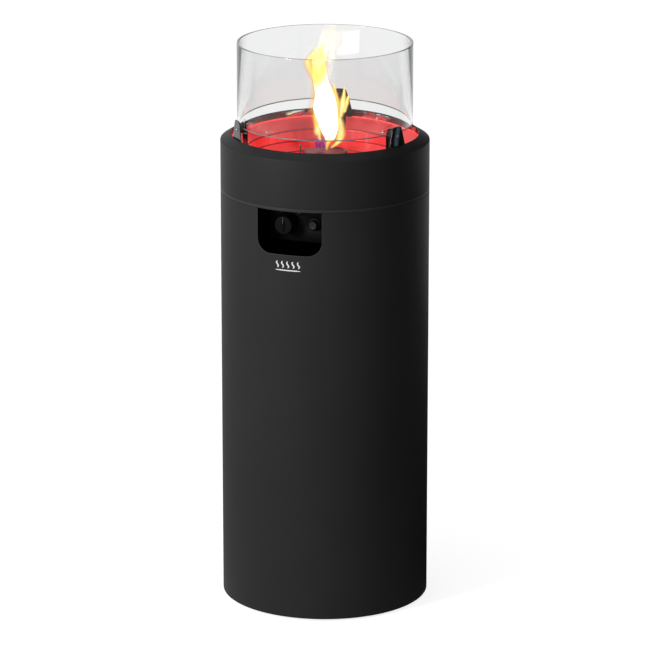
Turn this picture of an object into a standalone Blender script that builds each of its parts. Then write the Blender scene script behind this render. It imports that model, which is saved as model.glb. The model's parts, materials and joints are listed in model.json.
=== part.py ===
"""Gas patio fire column: a steel housing for the gas bottle, carrying a lift-off burner head.

Frame: origin on the floor at the column's axis, +Z up, the control opening faces -Y.
Angles round the column (degrees) start at the control opening and grow towards +X.
All sizes are in metres.
"""
import math

import bmesh
import bpy
from mathutils import Matrix, Vector

# ---- driving dimensions ----
COLUMN_RADIUS = 0.190          # outside of the housing and of the head
SHEET = 0.0015                 # wall of the housing and the head
PLATE = 0.0012                 # thinner pressed plates inside
GAP = 0.0003                   # air between pieces that touch
FOOT_HEIGHT = 0.004            # the housing's lower edge above the floor
HOUSING_TOP = 0.7683
COLLAR_LOW = HOUSING_TOP - 0.016
PLATFORM_FLOOR = 0.0105        # where the gas bottle stands
BOTTLE_RING_INNER, BOTTLE_RING_OUTER, BOTTLE_RING_RISE = 0.122, 0.132, 0.006
FOOT_RADIUS = 0.018
FEET_AT = 0.158                # distance of the feet from the axis
HEAD_Z = HOUSING_TOP + GAP     # lowest plane of the lift-off head
BIG_ROUND = 48                 # sides of the large round pieces
SMALL_ROUND = 16               # sides of the small turned pieces
THIN_ROUND = 8                 # sides of screws, jets and rods

# control opening in the housing
NOTCH_HALF_WIDTH = 0.0617
NOTCH_BOTTOM = 0.688
NOTCH_CORNER = 0.026

# head, as heights above HEAD_Z
GASKET_HEIGHT = 0.0060
BEVEL_LOW = 0.0928             # where the skirt turns into the sloping rim
RIM_HIGH = 0.1046
RIM_RADIUS = 0.1704            # clear opening of the rim
WALL_LOW = 0.0926              # lower edge of the rim's inner wall
BOWL_FLANGE = 0.0899
STEP_RADIUS = 0.140            # inner edge of the bowl's sloping ledge
LEDGE_INNER = (STEP_RADIUS + 0.0015, 0.0769)
LEDGE_OUTER = (0.168, BOWL_FLANGE)
LEDGE_SLOPE = (LEDGE_OUTER[1] - LEDGE_INNER[1]) / (LEDGE_OUTER[0] - LEDGE_INNER[0])
PILLAR_ANGLES = [20.5, 153.5, 247.5]
PILLARS_AT = 0.1480            # distance of the pillars from the axis
BOWL_HOLE = 0.054
BURNER_PLATE_TOP = 0.0339
BULKHEAD_LOW = 0.0134
BULKHEAD_RADIUS = 0.1882
GLASS_LOW = 0.1234
GLASS_HIGH = 0.2711
GLASS_RADIUS = 0.1595
GLASS_WALL = 0.004
DIFFUSER_WALL = 0.0042
STRIP_WALL = 0.0012
STRIP_SPACE = 0.0010           # between the diffuser and the lamp strip behind it
STRIP_HIGH = 0.0975
LAMP_WIRE_ANGLE = 150

# glass brackets, three round the rim
BRACKET_ANGLES = [-49.5, 70.5, 190.5]
BRACKET_TOP_WIDTH = 0.021
BRACKET_FOOT_WIDTH = 0.044
BRACKET_SHEET = 0.0017
BRACKET_TOP = HEAD_Z + 0.1389
BRACKET_LOW = HEAD_Z + BOWL_FLANGE + 0.0010
BRACKET_OUTSIDE = 0.1685       # outside face of a bracket's outer leg
BRACKET_INSIDE = 0.1520        # inside face of its inner leg
PAD_SHELF = HEAD_Z + 0.1200    # top of the steel shelf under the pad
PAD_SCREW_Z = PAD_SHELF + 0.0017

# control panel, valve, igniter and lamp switch; depths are distances in front of the axis
PANEL_FRONT = 0.1270
PANEL_HALF_WIDTH = 0.058
PANEL_LOW = 0.6990
CONTROL_Z = 0.7330             # height of the knob's and the igniter's axes
VALVE_X = -0.022
IGNITER_X = 0.028
SWITCH_Z = 0.7540
KNOB_RADIUS = 0.019
KNOB_TRAVEL = 0.004
BUTTON_TRAVEL = 0.007
PANEL_SCREW_X, PANEL_SCREW_Y = 0.045, -0.116
PANEL_SCREW_HOLE = 0.0023
NECK_RADIUS = 0.0082           # the valve's threaded neck
SPINDLE_RADIUS = 0.0031
SPINDLE_END = PANEL_FRONT + 0.0180
VALVE_DEPTH = 0.034
VALVE_FRONT = PANEL_FRONT - SHEET - GAP
IGNITER_FLANGE, IGNITER_BARREL, IGNITER_BORE = 0.0125, 0.0096, 0.0079
IGNITER_BACK, IGNITER_FLOOR = 0.085, 0.100
SWITCH_FLANGE, SWITCH_BARREL, SWITCH_BORE = 0.0070, 0.0049, 0.0038
SWITCH_BACK, SWITCH_FLOOR = 0.112, 0.119
HOLE_CLEARANCE = 0.0003        # of the panel's holes round the controls

# burner and its two probes
BURNER_RADIUS = 0.040
VENTURI_RADIUS = 0.011
VENTURI_LOW = HEAD_Z - 0.0186
VENTURI_FLANGE = 0.026
HOLDER_LENGTH = 0.0240
PIPE_Z = HEAD_Z - 0.0366       # height of the gas pipe where it meets the injector holder
PIPE_RADIUS = 0.0030
NUT_RADIUS, NUT_LENGTH, NUT_HOLE = 0.0065, 0.008, 0.0037
PROBE_X = 0.048
INSULATOR_LOW, INSULATOR_TOP = HEAD_Z + 0.0170, HEAD_Z + 0.0560
SENSOR_LOW = HEAD_Z + 0.0200
WIRE_RADIUS = 0.0012
SPARK_WIRE_RADIUS = 0.0014

# battery box under the bulkhead, at the back
BOX_HALF_WIDTH = 0.035
BOX_FRONT = 0.070
BOX_BACK = 0.130
BOX_HEIGHT = 0.022
BOX_WALL = 0.0015


# ---- helpers ----
def clear_scene():
    for old in list(bpy.data.objects):
        bpy.data.objects.remove(old)


def new_collection(name):
    made = bpy.data.collections.new(name)
    bpy.context.scene.collection.children.link(made)
    return made


def make_material(name, colour, roughness, metallic=0.0, alpha=1.0):
    material = bpy.data.materials.new(name)
    material.use_nodes = True
    shader = material.node_tree.nodes["Principled BSDF"]
    shader.inputs["Base Color"].default_value = (*colour, 1.0)
    shader.inputs["Roughness"].default_value = roughness
    shader.inputs["Metallic"].default_value = metallic
    shader.inputs["Alpha"].default_value = alpha
    material.diffuse_color = (*colour, alpha)
    return material


def polar(radius, degrees, height):
    """A point at that angle round the column."""
    angle = math.radians(degrees)
    return Vector((radius * math.sin(angle), -radius * math.cos(angle), height))


def add_object(name, data, material, collection=None):
    made = bpy.data.objects.new(name, data)
    (collection or PARTS).objects.link(made)
    if material is not None:
        made.data.materials.append(material)
    return made


def take(made, name, material, collection=None):
    """Renames an object that an operator has just added and moves it to its collection."""
    made.name = name
    for old in list(made.users_collection):
        old.objects.unlink(made)
    (collection or PARTS).objects.link(made)
    if material is not None:
        made.data.materials.append(material)
    return made


def smooth(made, angle=35):
    made.data.shade_smooth()
    made.data.set_sharp_from_angle(angle=math.radians(angle))
    return made


def box(name, low, high, material, collection=None):
    low, high = Vector(low), Vector(high)
    bpy.ops.mesh.primitive_cube_add(size=1, location=(low + high) / 2)
    made = take(bpy.context.object, name, material, collection)
    made.data.transform(Matrix.Diagonal((*(high - low), 1)))
    return made


def cylinder(name, radius, low, high, material, sides=SMALL_ROUND, collection=None):
    """A round bar between two points."""
    low, high = Vector(low), Vector(high)
    along = high - low
    bpy.ops.mesh.primitive_cylinder_add(vertices=sides, radius=radius, depth=along.length)
    made = take(bpy.context.object, name, material, collection)
    made.location = (low + high) / 2
    made.rotation_mode = "QUATERNION"
    made.rotation_quaternion = along.to_track_quat("Z", "Y")
    return smooth(made) if sides > 6 else made


def add_screw(made, sides):
    screw = made.modifiers.new("Turn", "SCREW")
    screw.steps = screw.render_steps = sides
    screw.use_merge_vertices = True
    screw.merge_threshold = 0.00001
    screw.use_smooth_shade = True
    return screw


def clockwise(profile):
    """The closed profile in the order that faces outwards: down its outer side."""
    area = sum(a[0] * b[1] - b[0] * a[1] for a, b in zip(profile, profile[1:] + profile[:1]))
    return profile if area < 0 else profile[::-1]


def turned(name, profile, material, sides=SMALL_ROUND, closed=True, collection=None):
    """A piece turned from (radius, height) points. An open profile starts and ends on the axis."""
    points = clockwise(profile) if closed else profile
    edges = [(i, i + 1) for i in range(len(points) - 1)]
    if closed:
        edges.append((len(points) - 1, 0))
    mesh = bpy.data.meshes.new(name)
    mesh.from_pydata([(r, 0, z) for r, z in points], edges, [])
    made = add_object(name, mesh, material, collection)
    add_screw(made, sides)
    return made


def pressed(name, profile, thickness, material, sides=BIG_ROUND):
    """A round pressed sheet: an open (radius, height) line of its upper face, from the middle
    outwards, thickened below. Where it turns up, the line is the inner face."""
    made = turned(name, profile, material, sides, closed=False)
    solid = made.modifiers.new("Sheet", "SOLIDIFY")
    solid.thickness = thickness
    solid.offset = -1
    solid.use_even_offset = True
    return made


def facing_front(made, x, height):
    """Stands a piece on its side: its own +Z points out of the control panel, to -Y."""
    made.data.transform(Matrix.Translation(made.location))
    made.location = (x, 0, height)
    made.rotation_euler = (math.radians(90), 0, 0)
    return made


def cut(made, *cutters):
    for cutter in cutters:
        cutter.hide_render = True
        cutter.display_type = "WIRE"
        boolean = made.modifiers.new("Cut " + cutter.name, "BOOLEAN")
        boolean.operation = "DIFFERENCE"
        boolean.object = cutter
    return made


def join(made, other):
    other.hide_render = True
    other.display_type = "WIRE"
    boolean = made.modifiers.new("Join " + other.name, "BOOLEAN")
    boolean.operation = "UNION"
    boolean.object = other
    return made


def drill(name, radius, low, high, sides=THIN_ROUND):
    return cylinder(name, radius, low, high, None, sides, CUTTERS)


def outline_mesh(name, outline, half_width, material, collection=None):
    """A flat (x, y) outline thickened to both sides of its plane, as a mesh."""
    curve = bpy.data.curves.new(name + "_outline", "CURVE")
    curve.dimensions = "2D"
    curve.fill_mode = "BOTH"
    curve.extrude = half_width
    spline = curve.splines.new("POLY")
    spline.points.add(len(outline) - 1)
    for point, (x, y) in zip(spline.points, outline):
        point.co = (x, y, 0, 1)
    spline.use_cyclic_u = True
    helper = bpy.data.objects.new(name + "_outline", curve)
    bpy.context.scene.collection.objects.link(helper)
    graph = bpy.context.evaluated_depsgraph_get()
    mesh = bpy.data.meshes.new_from_object(helper.evaluated_get(graph))
    bpy.data.objects.remove(helper)
    shape = bmesh.new()
    shape.from_mesh(mesh)
    bmesh.ops.remove_doubles(shape, verts=shape.verts, dist=0.00001)
    shape.to_mesh(mesh)
    shape.free()
    mesh.materials.clear()
    return add_object(name, mesh, material, collection)


def smooth_route(points, per_span):
    """Points along a Catmull-Rom curve through the route's own points."""
    ends = [points[0] * 2 - points[1], *points, points[-1] * 2 - points[-2]]
    found = []
    for before, start, end, after in zip(ends, ends[1:], ends[2:], ends[3:]):
        for step in range(per_span):
            t = step / per_span
            found.append(
                0.5 * (2 * start + (end - before) * t
                       + (2 * before - 5 * start + 4 * end - after) * t ** 2
                       + (3 * start - before - 3 * end + after) * t ** 3)
            )
    return found + [points[-1]]


def tube(name, route, radius, material, per_span=5):
    """A wire or pipe along a smooth curve through the route."""
    points = smooth_route([Vector(p) for p in route], per_span)
    curve = bpy.data.curves.new(name, "CURVE")
    curve.dimensions = "3D"
    curve.bevel_depth = radius
    curve.bevel_resolution = 2
    curve.use_fill_caps = True
    spline = curve.splines.new("POLY")
    spline.points.add(len(points) - 1)
    for point, place in zip(spline.points, points):
        point.co = (*place, 1)
    return add_object(name, curve, material)


def arc(centre, radius, start, end, steps):
    """Points on an arc in a plane, angles in degrees."""
    angles = [math.radians(start + (end - start) * i / steps) for i in range(steps + 1)]
    return [(centre[0] + radius * math.cos(a), centre[1] + radius * math.sin(a)) for a in angles]


def ring_profile(inner, outer, low, high):
    return [(outer, high), (outer, low), (inner, low), (inner, high)]


# ---- base: housing, bottle platform, feet, collar ----
def notch_outline():
    """The control opening seen from the front: square at the top, round lower corners."""
    right = NOTCH_HALF_WIDTH - NOTCH_CORNER
    low = NOTCH_BOTTOM + NOTCH_CORNER
    above = HOUSING_TOP + 0.02
    return ([(-NOTCH_HALF_WIDTH, above)]
            + arc((-right, low), NOTCH_CORNER, 180, 270, 5)
            + arc((right, low), NOTCH_CORNER, 270, 360, 5)
            + [(NOTCH_HALF_WIDTH, above)])


def notch_cutter():
    cutter = outline_mesh("notch_cutter", notch_outline(), 0.04, None, CUTTERS)
    cutter.rotation_euler = (math.radians(90), 0, 0)
    cutter.location = (0, -COLUMN_RADIUS, 0)
    return cutter


def build_housing():
    inner = COLUMN_RADIUS - SHEET
    housing = turned("lower_housing", ring_profile(inner, COLUMN_RADIUS, FOOT_HEIGHT, HOUSING_TOP),
                     BLACK_STEEL, BIG_ROUND)
    cut(housing, notch_cutter())


def build_collar():
    """A short band inside the housing's upper edge that centres the head; open at the controls."""
    outer = COLUMN_RADIUS - SHEET - GAP
    collar = turned("centring_collar",
                    ring_profile(outer - PLATE, outer, COLLAR_LOW, HEAD_Z + 0.009),
                    BLACK_STEEL, BIG_ROUND)
    side = NOTCH_HALF_WIDTH + 0.008
    gap = box("collar_gap_cutter", (-side, -COLUMN_RADIUS - 0.02, HOUSING_TOP - 0.04),
              (side, -0.12, HEAD_Z + 0.04), None, CUTTERS)
    cut(collar, gap)


def build_base_plate():
    """The plate that the gas bottle stands on, with a raised ring round the bottle and a flange."""
    flange = COLUMN_RADIUS - SHEET - GAP - PLATE
    floor, raised = PLATFORM_FLOOR, PLATFORM_FLOOR + BOTTLE_RING_RISE
    profile = [(0.018, floor), (BOTTLE_RING_INNER - 0.004, floor), (BOTTLE_RING_INNER, raised),
               (BOTTLE_RING_OUTER, raised), (BOTTLE_RING_OUTER + 0.004, floor),
               (flange - 0.002, floor), (flange, floor + 0.002), (flange, floor + 0.022)]
    plate = pressed("base_plate", profile, PLATE, BLACK_STEEL, BIG_ROUND)
    off_edge = 180 / BIG_ROUND     # half a facet, so that no vent sits on a facet's edge
    vents = [drill(f"vent_cutter_{i + 1}", 0.011, polar(0.075, 60 * i + off_edge, 0),
                   polar(0.075, 60 * i + off_edge, 0.03)) for i in range(6)]
    cut(plate, *vents)


def build_feet():
    top = PLATFORM_FLOOR - PLATE - GAP
    inner = FOOT_RADIUS - 0.002
    profile = [(0, top), (inner, top), (FOOT_RADIUS, top - 0.002), (inner, 0), (0, 0)]
    for i in range(4):
        foot = turned(f"foot_{i + 1}", profile, RUBBER, SMALL_ROUND, closed=False)
        foot.location = polar(FEET_AT, 45 + 90 * i, 0)


# ---- head: shell, gasket, bowl, light ring, bulkhead ----
def build_head_shell():
    inner = COLUMN_RADIUS - SHEET
    slope = (RIM_HIGH - BEVEL_LOW) / (COLUMN_RADIUS - RIM_RADIUS)
    back = RIM_RADIUS + SHEET
    profile = [
        (RIM_RADIUS, RIM_HIGH), (COLUMN_RADIUS, BEVEL_LOW), (COLUMN_RADIUS, GASKET_HEIGHT + GAP),
        (inner, GASKET_HEIGHT + GAP), (inner, BEVEL_LOW - SHEET * slope),
        (back, RIM_HIGH - SHEET * (1 + 2 * slope)), (back, WALL_LOW), (RIM_RADIUS, WALL_LOW),
    ]
    turned("head_shell", [(r, HEAD_Z + z) for r, z in profile], BLACK_STEEL, BIG_ROUND)


def build_gasket():
    inner = COLUMN_RADIUS - SHEET
    turned("seam_gasket", ring_profile(inner, COLUMN_RADIUS, HEAD_Z, HEAD_Z + GASKET_HEIGHT),
           GASKET_RUBBER, BIG_ROUND)


def ledge_height(radius):
    """Height of the bowl's sloping ledge at that distance from the axis."""
    return HEAD_Z + LEDGE_INNER[1] + (radius - LEDGE_INNER[0]) * LEDGE_SLOPE


def ledge_drill(name, radius, angle, depth):
    """A drill square to the ledge, at the pillars' distance from the axis."""
    tilt = math.atan(LEDGE_SLOPE)
    middle = polar(PILLARS_AT, angle, ledge_height(PILLARS_AT))
    along = polar(-math.sin(tilt), angle, math.cos(tilt))
    return drill(name, radius, middle - along * depth, middle + along * 0.004)


def build_bowl():
    """The stepped reflector that the flame stands in."""
    heights = [(BOWL_HOLE, 0.0354), (0.1085, 0.0374), (0.110, 0.0389), (0.110, 0.0444),
               (0.1115, 0.0459), (STEP_RADIUS - 0.0015, 0.0564), (STEP_RADIUS, 0.0579),
               (STEP_RADIUS, LEDGE_INNER[1] - 0.0015), LEDGE_INNER, LEDGE_OUTER,
               (0.180, BOWL_FLANGE)]
    bowl = pressed("reflector_bowl", [(r, HEAD_Z + z) for r, z in heights], PLATE, STAINLESS)
    holes = [ledge_drill(f"bowl_hole_{i}", 0.0022, angle, 0.006)
             for i, angle in enumerate(PILLAR_ANGLES, 1)]
    cut(bowl, *holes)


def build_light_ring():
    low = HEAD_Z + BOWL_FLANGE + GAP
    high = HEAD_Z + WALL_LOW - GAP
    lens = RIM_RADIUS + DIFFUSER_WALL
    turned("light_diffuser", ring_profile(RIM_RADIUS, lens, low, high), DIFFUSER, BIG_ROUND)
    strip = lens + STRIP_SPACE
    turned("led_strip", ring_profile(strip, strip + STRIP_WALL, low, HEAD_Z + STRIP_HIGH), BOARD,
           BIG_ROUND)


def build_bulkhead():
    """The plate under the bowl that carries the burner and the controls."""
    low = HEAD_Z + BULKHEAD_LOW
    top = low + PLATE
    lip = BULKHEAD_RADIUS - PLATE
    profile = [(VENTURI_RADIUS + 0.0015, top), (lip - 0.0015, top), (lip, top + 0.0015),
               (lip, top + 0.014)]
    plate = pressed("bulkhead", profile, PLATE, ZINC, BIG_ROUND)

    def hole(name, radius, x, y, sides=THIN_ROUND):
        return drill(name, radius, (x, y, low - 0.01), (x, y, top + 0.01), sides)

    wire_at = polar(0.178, LAMP_WIRE_ANGLE, 0)
    holes = [hole("lamp_wire_hole", 0.004, wire_at.x, wire_at.y)]
    for side in (-1, 1):
        holes.append(hole(f"probe_hole_{side:+d}", 0.006, side * PROBE_X, 0))
        holes.append(hole(f"panel_screw_hole_{side:+d}", PANEL_SCREW_HOLE, side * PANEL_SCREW_X,
                          PANEL_SCREW_Y))
    for angle in (90, 180, 270):
        vent_at = polar(0.095, angle, 0)
        holes.append(hole(f"bulkhead_vent_{angle}", 0.012, vent_at.x, vent_at.y, SMALL_ROUND))
    cut(plate, *holes)


# ---- glass and its brackets ----
def build_glass():
    inner = GLASS_RADIUS - GLASS_WALL
    turned("glass_cylinder", ring_profile(inner, GLASS_RADIUS, HEAD_Z + GLASS_LOW, HEAD_Z + GLASS_HIGH),
           GLASS, BIG_ROUND)


def place_round(made, degrees):
    """Turns a piece built at the -Y side to its angle round the column."""
    made.rotation_mode = "XYZ"
    made.rotation_euler = (0, 0, math.radians(degrees))
    return made


def radial_extrusion(name, outline, material, taper):
    """A (radius, height) outline, extruded sideways, with a half width that depends on the height."""
    made = outline_mesh(name, outline, 1.0, material)
    for vertex in made.data.vertices:
        radius, height, side = vertex.co
        vertex.co = (side * taper(height), -radius, height)
    made.data.flip_normals()
    return made


def bracket_half_width(height):
    share = min(1, (BRACKET_TOP - height) / (BRACKET_TOP - BRACKET_LOW))
    return (BRACKET_TOP_WIDTH + (BRACKET_FOOT_WIDTH - BRACKET_TOP_WIDTH) * share) / 2


def build_bracket(number, angle):
    """A sheet bracket: two upright legs joined by a shelf, with a foot welded to the bowl's ledge."""
    leg = BRACKET_SHEET
    lift = 0.0011              # keeps the straight foot clear of the round ledge at its two ends
    inner, outer = BRACKET_INSIDE, BRACKET_OUTSIDE
    shelf = PAD_SHELF - 0.0018
    toe = LEDGE_INNER[0] + 0.001
    outline = [
        (outer - leg, BRACKET_TOP), (outer, BRACKET_TOP), (outer, BRACKET_LOW),
        (outer - leg, BRACKET_LOW), (outer - leg, shelf), (inner + leg, shelf),
        (inner + leg, ledge_height(inner + leg) + lift), (toe, ledge_height(toe) + lift),
        (toe, ledge_height(toe) + lift + 0.0016), (inner, ledge_height(inner) + lift + 0.0016),
        (inner, BRACKET_TOP - 0.005), (inner + leg, BRACKET_TOP - 0.005), (inner + leg, PAD_SHELF),
        (outer - leg, PAD_SHELF),
    ]
    bracket = radial_extrusion(f"glass_bracket_{number}", outline, GLOSS_BLACK, bracket_half_width)
    hole = drill(f"bracket_hole_{number}", 0.0014, polar(outer - 0.004, angle, PAD_SCREW_Z),
                 polar(outer + 0.004, angle, PAD_SCREW_Z))
    place_round(bracket, angle)
    cut(bracket, hole)
    screw = turned(f"bracket_screw_{number}",
                   [(0, 0.0018), (0.0016, 0.0016), (0.0026, 0.0006), (0.0026, 0), (0.0011, 0),
                    (0.0011, -0.0070), (0, -0.0070)], ZINC, THIN_ROUND, closed=False)
    screw.location = polar(outer + GAP, angle, PAD_SCREW_Z)
    screw.rotation_euler = (math.radians(90), 0, math.radians(angle))


def build_pad(number, angle):
    """The silicone channel that the glass stands in."""
    shelf = PAD_SHELF + GAP
    glass = HEAD_Z + GLASS_LOW - GAP
    inner = BRACKET_INSIDE + BRACKET_SHEET + GAP
    outer = BRACKET_OUTSIDE - BRACKET_SHEET - GAP
    glass_in = GLASS_RADIUS - GLASS_WALL - GAP
    glass_out = GLASS_RADIUS + GAP
    top = BRACKET_TOP - 0.006
    outline = [(outer, top), (outer, shelf), (inner, shelf), (inner, top - 0.002),
               (glass_in - 0.0004, top - 0.002), (glass_in - 0.0004, glass),
               (glass_out + 0.0004, glass), (glass_out + 0.0004, top)]
    pad = radial_extrusion(f"glass_pad_{number}", outline, RUBBER, lambda height: 0.010)
    place_round(pad, angle)
    cut(pad, drill(f"pad_hole_{number}", 0.0013, polar(BRACKET_OUTSIDE - 0.0078, angle, PAD_SCREW_Z),
                   polar(BRACKET_OUTSIDE, angle, PAD_SCREW_Z)))


def build_pillar(number, angle):
    """A standoff from the bulkhead to the bowl's ledge, and the screw that holds the bowl on it."""
    low = HEAD_Z + BULKHEAD_LOW + PLATE + GAP
    tilt = math.atan(LEDGE_SLOPE)
    below = PLATE / math.cos(tilt) + GAP
    bar = cylinder(f"bowl_pillar_{number}", 0.005, (0, -PILLARS_AT, low),
                   (0, -PILLARS_AT, low + 0.05), ZINC, 6)
    bar.data.transform(Matrix.Translation(bar.location))
    bar.location = (0, 0, 0)
    for vertex in bar.data.vertices:
        if vertex.co.z > low + 0.01:
            vertex.co.z = ledge_height(-vertex.co.y) - below
    place_round(bar, angle)
    cut(bar, ledge_drill(f"pillar_bore_{number}", 0.0019, angle, 0.0085))
    screw = turned(f"bowl_screw_{number}",
                   [(0, 0.0024), (0.0024, 0.0020), (0.0038, 0.0008), (0.0038, GAP), (0.0016, GAP),
                    (0.0016, -0.0070), (0, -0.0070)], ZINC, THIN_ROUND, closed=False)
    screw.location = polar(PILLARS_AT, angle, ledge_height(PILLARS_AT))
    screw.rotation_euler = (-tilt, 0, math.radians(angle))


# ---- burner ----
def build_burner():
    inner = BURNER_RADIUS - 0.002
    cup = [(BURNER_RADIUS, 0.0654), (BURNER_RADIUS, 0.0474), (0.030, 0.0384),
           (VENTURI_RADIUS + GAP, 0.0384), (VENTURI_RADIUS + GAP, 0.0404), (0.029, 0.0404),
           (inner, 0.0484), (inner, 0.0654)]
    turned("burner_cup", [(r, HEAD_Z + z) for r, z in cup], CAST_IRON, 24)
    cap = [(0, 0.0700), (0.034, 0.0700), (0.0405, 0.0690), (0.0405, 0.0657), (0, 0.0657)]
    turned("burner_cap", [(r, HEAD_Z + z) for r, z in cap], STAINLESS, 24, closed=False)
    seat = HEAD_Z + BULKHEAD_LOW + PLATE + GAP
    bore = VENTURI_RADIUS - 0.0015
    turned("venturi_tube",
           [(VENTURI_RADIUS, HEAD_Z + 0.0400), (VENTURI_RADIUS, seat + 0.002),
            (VENTURI_FLANGE, seat + 0.002), (VENTURI_FLANGE, seat), (VENTURI_RADIUS, seat),
            (VENTURI_RADIUS, VENTURI_LOW + 0.004), (bore, VENTURI_LOW + 0.004),
            (bore, HEAD_Z + 0.0400)], ZINC)
    plate_top = HEAD_Z + BURNER_PLATE_TOP
    plate = turned("burner_plate", ring_profile(VENTURI_RADIUS + 0.0008, 0.062, plate_top - PLATE,
                                                plate_top), STAINLESS, 24)
    holes = [drill(f"probe_clearance_{side:+d}", 0.0036, (side * PROBE_X, 0, plate_top - 0.01),
                   (side * PROBE_X, 0, plate_top + 0.01)) for side in (-1, 1)]
    cut(plate, *holes)
    cage = turned("air_cage", ring_profile(VENTURI_RADIUS + GAP, VENTURI_RADIUS + 0.002,
                                           VENTURI_LOW - 0.008, VENTURI_LOW + 0.009), ZINC)
    reach, half_width, half_height = 0.03, 0.004, 0.003
    windows = [box(f"air_window_{name}", (-x, -y, VENTURI_LOW - half_height),
                   (x, y, VENTURI_LOW + half_height), None, CUTTERS)
               for name, x, y in (("x", reach, half_width), ("y", half_width, reach))]
    cut(cage, *windows)


def build_injector():
    top = VENTURI_LOW - 0.0040
    cylinder("injector_holder", VENTURI_RADIUS - GAP, (0, 0, top - HOLDER_LENGTH), (0, 0, top), BRASS)
    turned("injector", [(0, top + 0.0055), (0.0022, top + 0.0050), (0.0038, top + 0.0030),
                        (0.0038, top + GAP), (0, top + GAP)], BRASS, THIN_ROUND, closed=False)


def build_probes():
    """The spark electrode on the right of the burner, the flame sensor on the left."""
    low, top = INSULATOR_LOW, INSULATOR_TOP
    turned("electrode_insulator",
           [(0.0031, top), (0.0031, low), (0.0013, low), (0.0013, top)], CERAMIC, THIN_ROUND
           ).location = (PROBE_X, 0, 0)
    tube("spark_electrode", [(PROBE_X, 0, low + 0.004), (PROBE_X, 0, top), (PROBE_X, 0, HEAD_Z + 0.067),
                             (PROBE_X - 0.003, 0, HEAD_Z + 0.0725), (0.038, 0, HEAD_Z + 0.0740)],
         0.0009, STAINLESS, 3)
    sensor = [(0, 0.0580), (0.0012, 0.0570), (0.0019, 0.0540), (0.0019, 0.0360), (0.0029, 0.0350),
              (0.0029, 0), (0, 0)]
    probe = turned("flame_sensor", [(r, SENSOR_LOW + z) for r, z in sensor], STAINLESS, THIN_ROUND,
                   closed=False)
    probe.location = (-PROBE_X, 0, 0)


# ---- controls ----
def build_panel():
    """The upright plate behind the control opening, with a flange screwed under the bulkhead."""
    top = HEAD_Z + BULKHEAD_LOW - GAP
    back = -(PANEL_FRONT - SHEET)
    outline = [(-PANEL_FRONT, PANEL_LOW), (back, PANEL_LOW), (back, top - SHEET), (-0.104, top - SHEET),
               (-0.104, top), (-PANEL_FRONT, top)]
    panel = outline_mesh("control_panel", outline, PANEL_HALF_WIDTH, SATIN_BLACK)
    panel.data.transform(Matrix(((0, 0, 1, 0), (1, 0, 0, 0), (0, 1, 0, 0), (0, 0, 0, 1))))
    front, behind = -PANEL_FRONT - 0.01, back + 0.008
    holes = [
        drill(f"{name}_hole", radius + HOLE_CLEARANCE, (x, front, z), (x, behind, z), SMALL_ROUND)
        for name, radius, x, z in (("valve", NECK_RADIUS, VALVE_X, CONTROL_Z),
                                   ("igniter", IGNITER_BARREL, IGNITER_X, CONTROL_Z),
                                   ("switch", SWITCH_BARREL, 0, SWITCH_Z))
    ]
    for side in (-1, 1):
        holes.append(drill(f"flange_hole_{side:+d}", PANEL_SCREW_HOLE,
                           (side * PANEL_SCREW_X, PANEL_SCREW_Y, top - 0.01),
                           (side * PANEL_SCREW_X, PANEL_SCREW_Y, top + 0.01)))
    cut(panel, *holes)
    seat = top - SHEET - GAP
    for number, side in enumerate((-1, 1), 1):
        screw = turned(f"panel_screw_{number}",
                       [(0, top + 0.008), (0.0018, top + 0.008), (0.0018, seat), (0.0038, seat),
                        (0.0038, seat - 0.0012), (0.0022, seat - 0.0026), (0, seat - 0.0026)],
                       SATIN_BLACK, THIN_ROUND, closed=False)
        screw.location = (side * PANEL_SCREW_X, PANEL_SCREW_Y, 0)


def build_valve():
    """The gas valve behind the panel: a brass block with a threaded neck, spindle and nut."""
    behind = -VALVE_FRONT
    block = box("valve_body", (VALVE_X - 0.012, behind, CONTROL_Z - 0.015),
                (VALVE_X + 0.012, behind + VALVE_DEPTH, CONTROL_Z + 0.013), BRASS)
    neck = cylinder("valve_neck", NECK_RADIUS, (VALVE_X, behind + 0.004, CONTROL_Z),
                    (VALVE_X, -PANEL_FRONT - 0.0050, CONTROL_Z), None, SMALL_ROUND, CUTTERS)
    bore = drill("spindle_bore", 0.0035, (VALVE_X, -PANEL_FRONT - 0.02, CONTROL_Z),
                 (VALVE_X, behind + 0.008, CONTROL_Z), SMALL_ROUND)
    join(block, neck)
    cut(block, bore)
    depth = VALVE_FRONT - 0.0075
    spindle = turned("valve_spindle",
                     [(0, SPINDLE_END), (SPINDLE_RADIUS - 0.0005, SPINDLE_END),
                      (SPINDLE_RADIUS, SPINDLE_END - 0.0010), (SPINDLE_RADIUS, depth), (0, depth)],
                     BRASS, SMALL_ROUND, closed=False)
    facing_front(spindle, VALVE_X, CONTROL_Z)
    low = PANEL_FRONT + GAP
    # A six-sided ring, with its inner corners far enough out for its flats to clear the neck.
    nut = turned("valve_nut", ring_profile(NECK_RADIUS + 0.0016, 0.0125, low, low + 0.0030), ZINC, 6)
    facing_front(nut, VALVE_X, CONTROL_Z)
    under = CONTROL_Z - 0.015 - GAP
    turned("gas_inlet_nipple",
           [(0, under), (0.0085, under), (0.0085, under - 0.0050), (0.0062, under - 0.0060),
            (0.0062, under - 0.0167), (0.0052, under - 0.0177), (0, under - 0.0177)],
           BRASS, SMALL_ROUND, closed=False
           ).location = (VALVE_X, behind + VALVE_DEPTH / 2, 0)


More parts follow.
